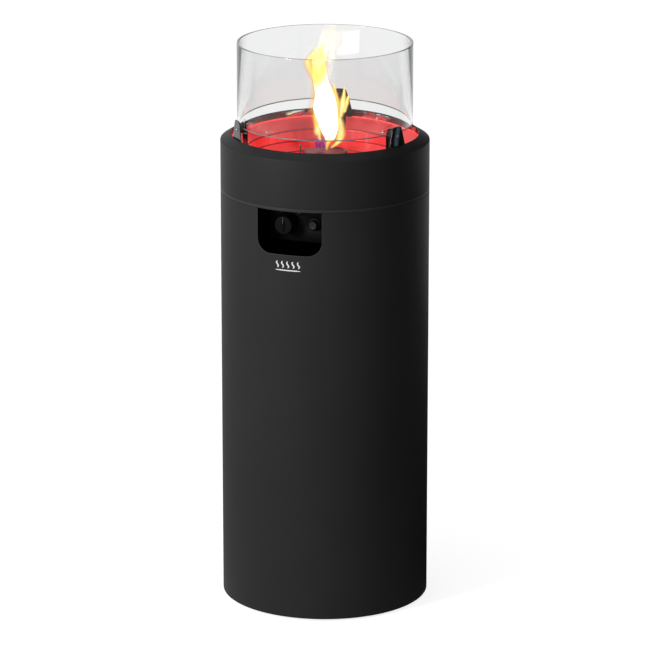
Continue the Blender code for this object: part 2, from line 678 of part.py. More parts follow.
def build_knob():
    """A hollow knob on the spindle, with a raised pointer across its face."""
    back = PANEL_FRONT + 0.0084
    front = back + 0.0200
    inside = front - 0.004
    hub, socket = SPINDLE_RADIUS + 0.0031, SPINDLE_RADIUS + GAP
    socket_end = SPINDLE_END + KNOB_TRAVEL + 0.0008
    profile = [(0, front), (0.0165, front), (KNOB_RADIUS - 0.001, front - 0.0015),
               (KNOB_RADIUS, back), (KNOB_RADIUS - 0.002, back), (KNOB_RADIUS - 0.003, inside),
               (hub, inside), (hub, back + 0.003), (socket, back + 0.003),
               (socket, socket_end), (0, socket_end)]
    knob = turned("control_knob", profile, SATIN_BLACK, SMALL_ROUND, closed=False)
    pointer = box("knob_pointer_rib", (-0.0030, 0.0, front - 0.003), (0.0030, KNOB_RADIUS - 0.0025,
                                                                      front + 0.0022), None, CUTTERS)
    facing_front(knob, VALVE_X, CONTROL_Z)
    facing_front(pointer, VALVE_X, CONTROL_Z)
    join(knob, pointer)


def open_turning(profile):
    """A cup's profile, listed from its mouth round the outside to the axis and then the inside,
    put in the order that starts and ends on the axis."""
    on_axis = [i for i, (r, _) in enumerate(profile) if r == 0]
    first, second = on_axis
    return profile[second:] + profile[:first + 1]


def build_igniter():
    """The igniter's flanged sleeve and its long-travel push button."""
    low = PANEL_FRONT + GAP
    profile = [(IGNITER_BORE, low + 0.0027), (IGNITER_FLANGE, low + 0.0020), (IGNITER_FLANGE, low),
               (IGNITER_BARREL, low), (IGNITER_BARREL, IGNITER_BACK), (0, IGNITER_BACK),
               (0, IGNITER_FLOOR), (IGNITER_BORE, IGNITER_FLOOR)]
    body = turned("igniter_body", open_turning(profile), BLACK_PLASTIC, SMALL_ROUND, closed=False)
    facing_front(body, IGNITER_X, CONTROL_Z)
    radius, end = IGNITER_BORE - 0.0004, IGNITER_FLOOR + BUTTON_TRAVEL + 0.001
    button = turned("igniter_button",
                    [(0, low + 0.0112), (radius - 0.0015, low + 0.0110), (radius, low + 0.0098),
                     (radius, end), (0, end)], GLOSS_BLACK, SMALL_ROUND, closed=False)
    facing_front(button, IGNITER_X, CONTROL_Z)


def build_lamp_switch():
    """The small push switch of the lamps, between the knob and the igniter."""
    low = PANEL_FRONT + GAP
    profile = [(SWITCH_BORE, low + 0.0017), (SWITCH_FLANGE, low + 0.0012), (SWITCH_FLANGE, low),
               (SWITCH_BARREL, low), (SWITCH_BARREL, SWITCH_BACK), (0, SWITCH_BACK),
               (0, SWITCH_FLOOR), (SWITCH_BORE, SWITCH_FLOOR)]
    body = turned("lamp_switch_body", open_turning(profile), BLACK_PLASTIC, SMALL_ROUND, closed=False)
    facing_front(body, 0, SWITCH_Z)
    radius, end = SWITCH_BORE - GAP, SWITCH_FLOOR + 0.003
    button = turned("lamp_button", [(0, low + 0.0045), (radius - 0.0007, low + 0.0043),
                                    (radius, low + 0.0036), (radius, end), (0, end)],
                    GLOSS_BLACK, SMALL_ROUND, closed=False)
    facing_front(button, 0, SWITCH_Z)


def build_battery_box():
    """An open-backed box under the bulkhead, closed by a flap that hangs from its upper edge."""
    top = HEAD_Z + BULKHEAD_LOW - 0.0010
    low = top - BOX_HEIGHT
    case = box("battery_box", (-BOX_HALF_WIDTH, BOX_FRONT, low), (BOX_HALF_WIDTH, BOX_BACK, top),
               BLACK_PLASTIC)
    inside = box("battery_space", (-BOX_HALF_WIDTH + BOX_WALL, BOX_FRONT + BOX_WALL, low + BOX_WALL),
                 (BOX_HALF_WIDTH - BOX_WALL, BOX_BACK + 0.01, top - BOX_WALL), None, CUTTERS)
    cut(case, inside)
    hinge = Vector((0, BOX_BACK + GAP + 0.0018, top - 0.0012))
    flap = box("battery_flap", (-BOX_HALF_WIDTH, BOX_BACK + GAP, low),
               (BOX_HALF_WIDTH, hinge.y, hinge.z), BLACK_PLASTIC)
    flap.data.transform(Matrix.Translation(flap.location - hinge))
    flap.location = hinge


# ---- pipe and wires ----
def hex_nut(name, start, end):
    """A pipe nut between two points, with a clear hole for the pipe."""
    nut = cylinder(name, NUT_RADIUS, start, end, BRASS, 6)
    along = (Vector(end) - Vector(start)).normalized() * 0.004
    bore = drill(name + "_bore", NUT_HOLE, Vector(start) - along, Vector(end) + along)
    cut(nut, bore)


def build_pipe():
    """The gas pipe from the back of the valve to the injector holder, with its two nuts."""
    start = Vector((VALVE_X, VALVE_DEPTH + GAP - VALVE_FRONT, CONTROL_Z - 0.001))
    end = Vector((0, -VENTURI_RADIUS, PIPE_Z))
    tube("gas_pipe", [start, start + Vector((0, 0.025, 0)), (-0.016, -0.046, PIPE_Z + 0.0002),
                      (-0.003, -0.033, PIPE_Z), (0, -0.026, PIPE_Z), end], PIPE_RADIUS, ALUMINIUM, 4)
    nut = Vector((0, NUT_LENGTH, 0))
    hex_nut("pipe_nut_valve", start, start + nut)
    hex_nut("pipe_nut_burner", end - nut, end)


def build_wires():
    valve_back = VALVE_DEPTH - VALVE_FRONT
    sensor_end, sensor_x = SENSOR_LOW - GAP, -0.029
    tube("sensor_lead", [(-PROBE_X, 0, sensor_end), (-PROBE_X, 0, sensor_end - 0.018),
                         (-0.046, -0.025, sensor_end - 0.036), (-0.036, -0.055, CONTROL_Z + 0.012),
                         (sensor_x, -0.076, CONTROL_Z + 0.008),
                         (sensor_x, valve_back + GAP, CONTROL_Z + 0.008)], WIRE_RADIUS, COPPER, 3)
    spark_end = INSULATOR_LOW - GAP
    tube("ignition_lead", [(PROBE_X, 0, spark_end), (PROBE_X, 0, spark_end - 0.016),
                           (0.046, -0.025, spark_end - 0.033), (0.036, -0.055, CONTROL_Z + 0.004),
                           (IGNITER_X, -0.074, CONTROL_Z), (IGNITER_X, -IGNITER_BACK + GAP, CONTROL_Z)],
         SPARK_WIRE_RADIUS, WIRE_RED, 3)
    box_z = HEAD_Z + 0.002
    down = [(0.1784, 0.0935), (0.1818, 0.0915), (0.1842, 0.0820), (0.1842, 0.0450), (0.1800, 0.0230),
            (0.1780, 0.0120)]
    tube("lamp_lead", [polar(r, LAMP_WIRE_ANGLE, HEAD_Z + z) for r, z in down]
         + [polar(0.165, LAMP_WIRE_ANGLE + 2, box_z), (0.056, 0.118, box_z),
            (BOX_HALF_WIDTH + 0.006, 0.110, box_z), (BOX_HALF_WIDTH + 0.003, 0.110, box_z),
            (BOX_HALF_WIDTH + GAP, 0.110, box_z)], WIRE_RADIUS, WIRE_BLACK, 3)
    tube("switch_lead", [(0, -SWITCH_BACK + GAP, SWITCH_Z), (0.004, -0.095, SWITCH_Z + 0.001),
                         (0.022, -0.050, SWITCH_Z + 0.006), (0.026, 0.010, box_z + 0.002),
                         (0.020, 0.050, box_z), (0.018, BOX_FRONT - GAP, box_z)],
         WIRE_RADIUS, WIRE_BLACK, 3)


clear_scene()
PARTS = new_collection("gas_patio_fire")
CUTTERS = new_collection("cutters")

BLACK_STEEL = make_material("black_powder_coat", (0.022, 0.022, 0.022), 0.45)
GLOSS_BLACK = make_material("gloss_black", (0.010, 0.010, 0.010), 0.18)
SATIN_BLACK = make_material("satin_black", (0.012, 0.012, 0.012), 0.45)
BLACK_PLASTIC = make_material("black_plastic", (0.015, 0.015, 0.015), 0.5)
GASKET_RUBBER = make_material("gasket_rubber", (0.035, 0.035, 0.035), 0.6)
RUBBER = make_material("rubber", (0.012, 0.012, 0.012), 0.8)
STAINLESS = make_material("stainless_steel", (0.62, 0.60, 0.58), 0.22, 1.0)
ZINC = make_material("zinc_plated_steel", (0.55, 0.55, 0.53), 0.35, 1.0)
BRASS = make_material("brass", (0.72, 0.52, 0.24), 0.3, 1.0)
ALUMINIUM = make_material("aluminium", (0.75, 0.75, 0.76), 0.35, 1.0)
COPPER = make_material("copper", (0.72, 0.38, 0.24), 0.35, 1.0)
CAST_IRON = make_material("cast_iron", (0.06, 0.06, 0.065), 0.6, 1.0)
CERAMIC = make_material("ceramic", (0.85, 0.83, 0.78), 0.4)
DIFFUSER = make_material("red_diffuser", (0.85, 0.08, 0.07), 0.4)
BOARD = make_material("led_board", (0.70, 0.68, 0.62), 0.5)
GLASS = make_material("clear_glass", (0.92, 0.94, 0.94), 0.03, 0.0, 0.25)
WIRE_RED = make_material("red_wire", (0.45, 0.03, 0.02), 0.5)
WIRE_BLACK = make_material("black_wire", (0.02, 0.02, 0.02), 0.5)

build_housing()
build_collar()
build_base_plate()
build_feet()
build_head_shell()
build_gasket()
build_bowl()
build_light_ring()
build_bulkhead()
build_glass()
for bracket_number, bracket_angle in enumerate(BRACKET_ANGLES, 1):
    build_bracket(bracket_number, bracket_angle)
    build_pad(bracket_number, bracket_angle)
for pillar_number, pillar_angle in enumerate(PILLAR_ANGLES, 1):
    build_pillar(pillar_number, pillar_angle)
build_burner()
build_injector()
build_probes()
build_panel()
build_valve()
build_knob()
build_igniter()
build_lamp_switch()
build_battery_box()
build_pipe()
build_wires()

bpy.context.view_layer.update()
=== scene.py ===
"""Looks for the gas fire column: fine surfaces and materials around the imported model, its flame,
a plain pale floor, soft studio light and a camera. Everything is in metres in the model's frame."""
import json
from math import atan2, cos, dist, hypot, pi, radians, sin, sqrt

import bmesh
import bpy
from mathutils import Matrix, Vector


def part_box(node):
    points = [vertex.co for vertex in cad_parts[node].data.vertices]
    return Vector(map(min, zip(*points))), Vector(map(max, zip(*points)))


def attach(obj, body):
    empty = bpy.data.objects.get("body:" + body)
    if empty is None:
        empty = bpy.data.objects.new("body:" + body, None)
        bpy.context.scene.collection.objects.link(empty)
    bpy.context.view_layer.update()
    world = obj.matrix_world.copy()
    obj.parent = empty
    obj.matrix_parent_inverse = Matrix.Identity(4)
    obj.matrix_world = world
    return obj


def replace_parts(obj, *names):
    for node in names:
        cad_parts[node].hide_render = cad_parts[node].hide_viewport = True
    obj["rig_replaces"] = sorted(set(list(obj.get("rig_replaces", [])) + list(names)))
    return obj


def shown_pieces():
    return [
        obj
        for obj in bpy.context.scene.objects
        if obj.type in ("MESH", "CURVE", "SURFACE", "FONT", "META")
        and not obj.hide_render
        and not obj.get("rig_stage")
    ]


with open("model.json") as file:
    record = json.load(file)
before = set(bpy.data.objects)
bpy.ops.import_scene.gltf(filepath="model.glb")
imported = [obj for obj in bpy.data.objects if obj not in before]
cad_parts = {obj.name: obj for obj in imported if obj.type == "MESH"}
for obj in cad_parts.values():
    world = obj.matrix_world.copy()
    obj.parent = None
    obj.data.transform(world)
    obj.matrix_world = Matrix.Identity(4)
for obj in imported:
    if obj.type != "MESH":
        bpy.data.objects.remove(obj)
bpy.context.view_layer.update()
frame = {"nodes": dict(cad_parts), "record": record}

SLOT_OF = {part["node"]: part["material_slot"] for part in frame["record"]["subparts"]}

# ---- places and sizes read from the frame ----
HOUSING_LOW, HOUSING_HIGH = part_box("lower_housing")
BODY_RADIUS = HOUSING_HIGH.x
HEAD_LOW, HEAD_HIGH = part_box("head_shell")
GASKET_LOW, GASKET_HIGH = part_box("seam_gasket")
GLASS_LOW, GLASS_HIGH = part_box("glass_cylinder")
BOWL_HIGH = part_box("reflector_bowl")[1]
CUP_LOW, CUP_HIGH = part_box("burner_cup")
CAP_LOW, CAP_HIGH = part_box("burner_cap")
PANEL_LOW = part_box("control_panel")[0]

# ---- sizes of the fine surfaces ----
SHEET = 0.0015                 # housing and head
GLASS_WALL = 0.004
GROUND_BAND = 0.0015           # ground finish round the glass's lower edge
RIM_RADIUS = 0.1704            # clear opening of the rim
BEVEL_DROP = 0.0118            # fall of the sloping rim to the body's side
RIM_WALL = 0.0120              # height of the rim's inner wall
RIM_BULGE = 0.0008             # how far that wall swells inwards
RIM_LIP = 0.0026               # coated band above the wall's gloss
NOTCH_HALF_WIDTH = 0.0617
NOTCH_BOTTOM = 0.688
NOTCH_CORNER = 0.026
LEDGE_IN, LEDGE_OUT = 0.1415, 0.168    # the bowl's sloping ledge, which the brackets stand on
LEDGE_FALL = 0.013
BRACKET_ANGLES = [-49.5, 70.5, 190.5]
BRACKET_OUTER, BRACKET_INNER = 0.1685, 0.1520    # outer and inner faces of a bracket's two plates
BRACKET_SHEET = 0.0017
BRACKET_HALF, BRACKET_GAIN = 0.0105, 0.0110    # half width of the outer plate's top, and its gain
BRACKET_FLARE = 0.034          # height over which that plate widens
INNER_HALF, SHELF_HALF = 0.0125, 0.0135    # half widths of the inner plate and of the shelf
# Each pressed step of the bowl, as its radius and its depth below the bowl's edge; the bowl's painted
# shade lines follow them.
BOWL_CREASES = ((0.1405, 0.0138), (0.1393, 0.0328), (0.1108, 0.0448), (0.1095, 0.0516))
# CAD node, piece and wall of each ring of the lamps.
LIGHT_RINGS = (("light_diffuser", "diffuser_ring", 0.0042), ("led_strip", "lamp_strip", 0.0012))
LAMPS = 72                     # lamps round the ring
PORTS = 40                     # flame ports round the burner's cap
PORT_DEPTH = 0.0022
# The printed sign; each stroke's last number is half its width.
WAVE_LOW, WAVE_TALL, WAVE_PITCH, WAVE_SWAY, WAVE_HALF = 0.6650, 0.0120, 0.0100, 0.0017, 0.0012
BAR_HEIGHT, BAR_REACH, BAR_HALF = 0.6605, 0.0235, 0.0010
PRINT_LIFT, PRINT_THICK = 0.00005, 0.00008
KNOB_RIB = 0.0022              # the knob's pointer stands this far off its cap
KNOB_FLUTES, FLUTE_DEPTH = 20, 0.00055
WHITE = (1.0, 1.0, 1.0, 1.0)
FINE = 256                     # sides of the large round surfaces
SMALL = 64                     # sides of the small ones

# ---- flame ----
FLAME_LOW = CAP_HIGH.z + 0.0004
FLAME_HIGH = GLASS_HIGH.z - 0.0012
FLAME_TALL = FLAME_HIGH - FLAME_LOW
# A lick is its spine as (sideways, height above the burner), its half width at each point and
# the phase of its folds.
BODY = ([(0.003, 0.000), (0.004, 0.012), (0.008, 0.020), (0.008, 0.033), (0.006, 0.047),
         (0.001, 0.074), (0.000, 0.101), (-0.007, 0.123), (-0.0105, 0.147), (-0.0105, 0.166),
         (-0.008, 0.182), (-0.003, 0.193), (0.004, 0.1995)],
        [0.003, 0.006, 0.010, 0.017, 0.022, 0.026, 0.020, 0.016, 0.0155, 0.016, 0.0135, 0.009,
         0.001], 0.0)
TAIL = ([(-0.011, 0.110), (-0.019, 0.128), (-0.028, 0.146), (-0.032, 0.160), (-0.026, 0.174),
         (-0.016, 0.187)], [0.004, 0.008, 0.009, 0.0085, 0.007, 0.001], 2.6)
LICKS = [
    ([(0.020, 0.066), (0.021, 0.086), (0.018, 0.104), (0.017, 0.117)],
     [0.008, 0.008, 0.004, 0.0006], 1.7),
    ([(0.027, 0.060), (0.031, 0.080), (0.034, 0.098), (0.035, 0.113)],
     [0.006, 0.008, 0.004, 0.0006], 3.1),
    ([(0.034, 0.068), (0.039, 0.084), (0.043, 0.099)], [0.004, 0.005, 0.0006], 0.6),
    ([(0.011, 0.004), (0.024, 0.015), (0.028, 0.028), (0.027, 0.046), (0.023, 0.066)],
     [0.004, 0.007, 0.009, 0.008, 0.004], 2.3),
    ([(-0.004, 0.016), (-0.010, 0.022), (-0.013, 0.032), (-0.013, 0.042), (-0.016, 0.062),
      (-0.015, 0.082)], [0.0015, 0.005, 0.007, 0.007, 0.006, 0.0006], 5.2),
]
BRIGHT, CREAM, PALE = (1.0, 1.0, 1.0), (1.0, 0.94, 0.62), (1.0, 0.82, 0.30)
GOLD, YELLOW, AMBER = (1.0, 0.80, 0.12), (1.0, 0.64, 0.05), (1.0, 0.38, 0.04)
ORANGE, ROSE = (1.0, 0.22, 0.05), (0.80, 0.12, 0.10)
CORE_STRENGTH = 5.0            # shells brighter than this are the white core
SHELLS = [                     # swell, top, alpha, strength, colours from the burner up, licks shown
    (1.32, 1.00, 0.05, 1.0, (ROSE, ORANGE, ORANGE, ORANGE), 6),
    (1.20, 1.00, 0.09, 1.1, (ORANGE, AMBER, AMBER, ORANGE), 6),
    (1.09, 1.00, 0.13, 1.2, (ORANGE, AMBER, YELLOW, AMBER), 6),
    (0.98, 1.00, 0.17, 1.3, (AMBER, YELLOW, YELLOW, AMBER), 6),
    (0.86, 1.00, 0.22, 1.3, (YELLOW, GOLD, YELLOW, YELLOW), 6),
    (0.72, 0.98, 0.30, 1.4, (YELLOW, PALE, GOLD, YELLOW), 5),
    (0.54, 0.96, 0.42, 1.6, (GOLD, CREAM, GOLD, YELLOW), 5),
    (0.42, 0.96, 0.70, 2.0, (YELLOW, CREAM, PALE, GOLD), 6),
    (0.80, 0.72, 1.00, 10.0, (GOLD, BRIGHT, CREAM, GOLD), 0),
]

# ---- studio ----
VIEW_ANGLE = 20.5              # the camera's angle round the column
CAMERA_DISTANCE = 7.0
CAMERA_HEIGHT = 2.5
CAMERA_PITCH = 15.878          # degrees below the horizon
CAMERA_LENS = 219.37
SURROUND = [                   # (angle from the camera, level), from behind by way of the left
    (-180, 0.95), (-165, 0.85), (-150, 0.60), (-135, 0.50), (-105, 0.62), (-75, 0.78),
    (-45, 0.83), (-15, 0.69), (15, 0.47), (45, 0.27), (75, 0.11), (105, 0.03), (135, 0.02),
    (150, 0.03), (165, 0.22), (180, 0.95),
]
SKY_FALL = (1.22, 0.68)        # level at the horizon and straight above
FLOOR_OPENS = (1.6, 2.8)       # distances behind the column over which the floor turns white
FLOOR_SHARE = 0.7              # light from the floor, as a share of the light from above it
KEY_ANGLE, KEY_DISTANCE, KEY_HEIGHT = -50.0, 1.8, 1.3    # its angle is from the camera's
KEY_SIZE, KEY_WATTS, KEY_AIM = 0.5, 18.5, 0.6
FLAME_LIGHTS = [               # the flame that the glass's back mirrors: width, height, level, colour
    (0.094, 0.053, 2.0, (1.0, 0.62, 0.30)),
    (0.084, 0.046, 4.0, (1.0, 0.92, 0.76)),
]
FLAME_LIGHT_AT = (-0.045, 0.0, 0.982)


# ---- node helpers ----
class Tree:
    """The node tree of a new material, or of the world, with short ways to add nodes and links."""

    def __init__(self, name, world=None):
        self.material = world or bpy.data.materials.new(name)
        self.material.use_nodes = True
        self.nodes = self.material.node_tree.nodes
        self.shader = self.nodes.get("Principled BSDF")

    def put(self, node, values):
        """Links other nodes' outputs to the node's inputs, or sets the inputs' plain values."""
        for key, value in values.items():
            if isinstance(value, bpy.types.NodeSocket):
                self.material.node_tree.links.new(value, node.inputs[key])
            else:
                node.inputs[key].default_value = value

    def add(self, kind, values=(), **settings):
        """The outputs of a new node whose inputs have those values, by place or by name."""
        node = self.nodes.new("ShaderNode" + kind)
        for key, value in settings.items():
            setattr(node, key, value)
        self.put(node, values if isinstance(values, dict) else dict(enumerate(values)))
        return node.outputs

    def place(self, kind="Object"):
        return self.add("TexCoord")[kind]

    def scaled(self, vector, scale):
        return self.add("Mapping", {"Vector": vector, "Scale": scale})[0]

    def noise(self, vector, scale, detail=3.0, rough=0.5, distortion=0.0):
        return self.add("TexNoise", {"Vector": vector, "Scale": scale, "Detail": detail,
                                     "Roughness": rough, "Distortion": distortion})["Fac"]

    def maths(self, operation, first, second=0.0, third=0.5, clamp=False):
        return self.add("Math", (first, second, third), operation=operation, use_clamp=clamp)[0]

    def times(self, first, second, clamp=False):
        return self.maths("MULTIPLY", first, second, clamp=clamp)

    def plus(self, first, second):
        return self.maths("ADD", first, second)

    def weighed(self, first, share, second, other):
        """first times share, plus second times other."""
        return self.plus(self.times(first, share), self.times(second, other))

    def span(self, value, low, high, to_low=0.0, to_high=1.0, smooth=False):
        """The value's range low..high stretched to to_low..to_high."""
        return self.add("MapRange", (value, low, high, to_low, to_high),
                        interpolation_type="SMOOTHSTEP" if smooth else "LINEAR")[0]

    def ramp(self, value, stops):
        node = self.nodes.new("ShaderNodeValToRGB")
        while len(node.color_ramp.elements) < len(stops):
            node.color_ramp.elements.new(0.5)
        for element, (at, colour) in zip(node.color_ramp.elements, stops):
            element.position = at
            element.color = (*colour, 1.0)
        self.put(node, {0: value})
        return node.outputs[0]

    def colours(self, share, first, second, kind="MIX"):
        """Two colours mixed or multiplied."""
        return self.add("MixRGB", (share, first, second), blend_type=kind)[0]

    def glow(self, colour, strength=1.0):
        return self.add("Emission", (colour, strength))[0]

    def through(self, colour=WHITE):
        return self.add("BsdfTransparent", (colour,))[0]

    def either(self, share, first, second):
        """Two shaders mixed."""
        return self.add("MixShader", (share, first, second))[0]

    def show(self, surface):
        """Makes that shader the material's surface."""
        self.put(self.nodes["Material Output"], {"Surface": surface})
        return self.material

    def bump(self, height, strength, distance):
        bumped = self.add("Bump", {"Height": height, "Strength": strength, "Distance": distance})
        self.put(self.shader, {"Normal": bumped[0]})

    def parts(self, vector):
        return self.add("SeparateXYZ", (vector,))

    def joined(self, *parts):
        return self.add("CombineXYZ", parts)[0]

    def polar(self):
        """Distance from the column's axis, angle round it and height, as three sockets."""
        x, y, z = self.parts(self.place())
        return self.maths("SQRT", self.weighed(x, x, y, y)), self.angle(x, y), z

    def angle(self, x, y):
        return self.maths("ARCTAN2", x, self.times(y, -1.0))

    def finish(self, rough, metallic, specular, colour, coat=None):
        """Sets the shader; rough is what span needs to make the roughness."""
        values = {"Base Color": colour, "Roughness": self.span(*rough), "Metallic": metallic}
        if specular is not None:
            values["Specular IOR Level"] = specular
        if coat is not None:
            values.update({"Coat Weight": coat, "Coat Roughness": 0.08})
        self.put(self.shader, values)
        return self.material


def shades(colour, dark, light):
    """Three stops of one colour, darker to lighter."""
    return [(0.0, tuple(c * dark for c in colour)), (0.5, colour),
            (1.0, tuple(min(1.0, c * light) for c in colour))]


# ---- materials ----
def powder_coat(name, colour, roughness, specular):
    """Fine-textured powder coat: a tight orange-peel grain over a slow drift of tone."""
    tree = Tree(name)
    place = tree.place()
    grain = tree.noise(place, 1500, 2.0, 0.6)
    peel = tree.noise(place, 320, 2.0)
    drift = tree.noise(place, 5)
    tone = tree.span(tree.weighed(grain, 0.6, drift, 0.4), 0.3, 0.7)
    tree.bump(tree.plus(grain, tree.times(peel, 0.8)), 0.22, 0.00012)
    return tree.finish((drift, 0.3, 0.7, roughness - 0.03, roughness + 0.04), 0.0,
                       specular, tree.ramp(tone, shades(colour, 0.82, 1.2)))


def enamel(name, colour, roughness):
    """Gloss enamel with a slow orange peel and faint smears."""
    tree = Tree(name)
    place = tree.place()
    smear = tree.noise(tree.scaled(place, (1, 1, 0.3)), 26, 4.0, 0.6)
    tree.bump(tree.noise(place, 140, 2.0), 0.10, 0.0004)
    return tree.finish((smear, 0.35, 0.7, roughness * 0.7, roughness * 1.8), 0.0, 0.5,
                       tree.ramp(smear, shades(colour, 0.8, 1.3)))


def rim_plating_painted_reflection(name):
    """Dark bright plating on a rolled wall that is never quite true, so what it mirrors breaks up;
    its colours are painted reflection, dark red for the lit bowl and pale cyan-white patches.
    """
    tree = Tree(name)
    _, angle, height = tree.polar()
    around = tree.joined(tree.maths("COSINE", angle), tree.maths("SINE", angle),
                         tree.times(height, 14.0))
    waves = tree.noise(around, 2.4, 2.0, 0.45, 0.3)
    smear = tree.noise(around, 9.0, 3.0, 0.6)
    tree.bump(waves, 1.0, 0.02)
    # Painted reflection: the base colour runs from dark red to pale cyan-white patches.
    return tree.finish((smear, 0.35, 0.7, 0.05, 0.14), 1.0, None,
                       tree.ramp(waves, [(0.36, (0.03, 0.010, 0.012)), (0.52, (0.15, 0.035, 0.04)),
                                         (0.63, (0.80, 0.88, 0.88))]))


def brushed(name, colour, roughness, stretch):
    """Bright steel with fine marks; stretch says how long they are along X, Y and Z."""
    tree = Tree(name)
    marks = tree.noise(tree.scaled(tree.place(), stretch), 900, 3.0, 0.7)
    tree.bump(marks, 0.15, 0.00008)
    mixed = tree.weighed(marks, 0.6, tree.noise(tree.place(), 40), 0.4)
    return tree.finish((mixed, 0.3, 0.7, roughness * 0.7, roughness * 1.5), 1.0, None,
                       tree.ramp(mixed, shades(colour, 0.75, 1.15)))


def spangled(name, colour):
    """Zinc plating with soft crystal patches."""
    tree = Tree(name)
    place = tree.place()
    tone = tree.parts(tree.add("TexVoronoi", {"Vector": place, "Scale": 170})["Color"])[0]
    tree.bump(tree.noise(place, 700, 2.0), 0.12, 0.00008)
    return tree.finish((tone, 0.0, 1.0, 0.26, 0.44), 1.0, None,
                       tree.ramp(tone, shades(colour, 0.8, 1.15)))


def turned_metal(name, colour, roughness):
    """Machined metal: close tool rings and a little tarnish."""
    tree = Tree(name)
    place = tree.place()
    tarnish = tree.noise(place, 90, 4.0, 0.6)
    tree.bump(tree.noise(tree.scaled(place, (0.3, 6.0, 6.0)), 500, 2.0), 0.18, 0.00006)
    return tree.finish((tarnish, 0.3, 0.7, roughness * 0.8, roughness * 1.5), 1.0, None,
                       tree.ramp(tarnish, shades(colour, 0.7, 1.12)))


def pitted(name, colour, pits, tone, dents, roughness, span, metallic=0.0, specular=None, coat=None):
    """A fine grain that dents and roughens the surface, over a slow change of tone."""
    tree = Tree(name)
    place = tree.place()
    grain = tree.noise(place, *pits)
    slow = tree.noise(place, *tone)
    tree.bump(grain, *dents)
    return tree.finish((grain, 0.3, 0.7, *roughness), metallic, specular,
                       tree.ramp(slow, shades(colour, *span)), coat)


def moulded(name, colour, roughness, grain=900.0, specular=0.4):
    """Plastic or rubber with a spark-eroded grain."""
    return pitted(name, colour, (grain, 2.0, 0.6), (24, 2.0), (0.3, 0.00012),
                  (roughness - 0.05, roughness + 0.08), (0.8, 1.25), specular=specular)


def black_with_painted_highlight(name, angles, distance, half_width):
    """Gloss black on upright plates at those angles, with a soft pale painted highlight down each
    middle, painted brightest on the plate at the right."""
    tree = Tree(name)
    _, angle, height = tree.polar()
    first, second = radians(angles[0]), radians(angles[1])
    pitch = 2 * pi / len(angles)
    near = tree.maths("WRAP", tree.maths("SUBTRACT", angle, first), pitch / 2, -pitch / 2)
    sway = tree.times(tree.maths("SINE", tree.times(height, 95.0)), 0.18)
    across = tree.plus(tree.times(near, distance / half_width), sway)
    smear = tree.noise(tree.scaled(tree.place(), (1, 1, 0.3)), 60, 3.0, 0.6)
    middle = tree.span(tree.maths("ABSOLUTE", across), 0.05, 0.55, 1.0, 0.0, smooth=True)
    # Painted highlight: faint on the left plate and full on the right one.
    wear_and_painted_highlight = tree.span(angle, first, second, 0.08, 1.0)
    sheen = tree.times(tree.times(middle, wear_and_painted_highlight), tree.span(smear, 0.2, 0.8, 0.6, 1.0))
    tree.bump(tree.noise(tree.place(), 140, 2.0), 0.10, 0.0004)
    # The base colour carries the painted highlight, pale blue-grey at its strongest.
    return tree.finish((smear, 0.35, 0.7, 0.10, 0.24), 0.0, 0.5,
                       tree.ramp(sheen, [(0.0, (0.006, 0.006, 0.007)), (1.0, (0.20, 0.29, 0.36))]))


def lit_bowl(name):
    """Pressed stainless in painted red light from the rim: a red base colour, faint spun rings, slow
    pools of painted light and shade, a painted shade line along each pressed step, and painted light
    that fades a little towards the burner."""
    tree = Tree(name)
    radius, angle, height = tree.polar()
    spun = tree.noise(tree.joined(tree.times(radius, 9.0), tree.times(angle, 0.25)), 60, 3.0, 0.6)
    pools = tree.noise(tree.joined(tree.times(radius, 16.0), tree.times(angle, 1.9)), 1.0, 3.0, 0.55)
    glow = tree.ramp(tree.span(tree.weighed(spun, 0.25, pools, 0.75), 0.32, 0.68),
                     [(0.0, (0.34, 0.008, 0.010)), (0.35, (0.56, 0.024, 0.026)),
                      (0.70, (0.68, 0.060, 0.058)), (1.0, (0.84, 0.22, 0.20))])
    reach = tree.span(radius, 0.055, 0.168, 0.78, 1.04)
    # Painted shade: a thin darker line along each pressed step.
    for step, fall in BOWL_CREASES:
        across = tree.maths("ABSOLUTE", tree.maths("SUBTRACT", radius, step))
        along = tree.maths("ABSOLUTE", tree.maths("SUBTRACT", height, BOWL_HIGH.z - fall))
        line = tree.span(tree.plus(across, along), 0.0010, 0.0030, 0.05, 1.0, smooth=True)
        reach = tree.times(reach, line)
    # The bowl is no lamp: its red glow is painted light from the lamp ring.
    tree.put(tree.shader, {"Emission Color": glow, "Emission Strength": reach})
    tree.bump(tree.plus(spun, tree.times(pools, 1.5)), 0.12, 0.0006)
    # Its red-tinted base colour is painted light too.
    return tree.finish((spun, 0.3, 0.7, 0.30, 0.42), 1.0, None,
                       tree.ramp(spun, shades((0.38, 0.055, 0.055), 0.85, 1.15)))


def lit_diffuser(name):
    """Frosted ring with a brighter patch in front of every lamp."""
    tree = Tree(name)
    lamps = tree.maths("COSINE", tree.times(tree.polar()[1], LAMPS))
    frost = tree.noise(tree.place(), 800, 2.0)
    glow = tree.ramp(tree.span(lamps, -1.0, 1.0),
                     [(0.0, (0.75, 0.03, 0.03)), (1.0, (1.0, 0.11, 0.09))])
    tree.put(tree.shader, {"Emission Color": glow, "Emission Strength": 0.45})
    tree.bump(frost, 0.2, 0.0001)
    return tree.finish((frost, 0.3, 0.7, 0.35, 0.5), 0.0, 0.5, (0.8, 0.1, 0.09, 1.0))


def light_board(name):
    """A white circuit strip with its lamps."""
    tree = Tree(name)
    waves = tree.maths("COSINE", tree.times(tree.polar()[1], LAMPS))
    glow = tree.ramp(tree.maths("GREATER_THAN", waves, 0.8),
                     [(0.0, (0.0, 0.0, 0.0)), (1.0, (1.0, 0.08, 0.06))])
    tree.put(tree.shader, {"Emission Color": glow, "Emission Strength": 3.0})
    fine = tree.noise(tree.place(), 600, 2.0)
    return tree.finish((fine, 0.3, 0.7, 0.4, 0.6), 0.0, 0.5,
                       tree.ramp(fine, shades((0.7, 0.68, 0.62), 0.85, 1.1)))


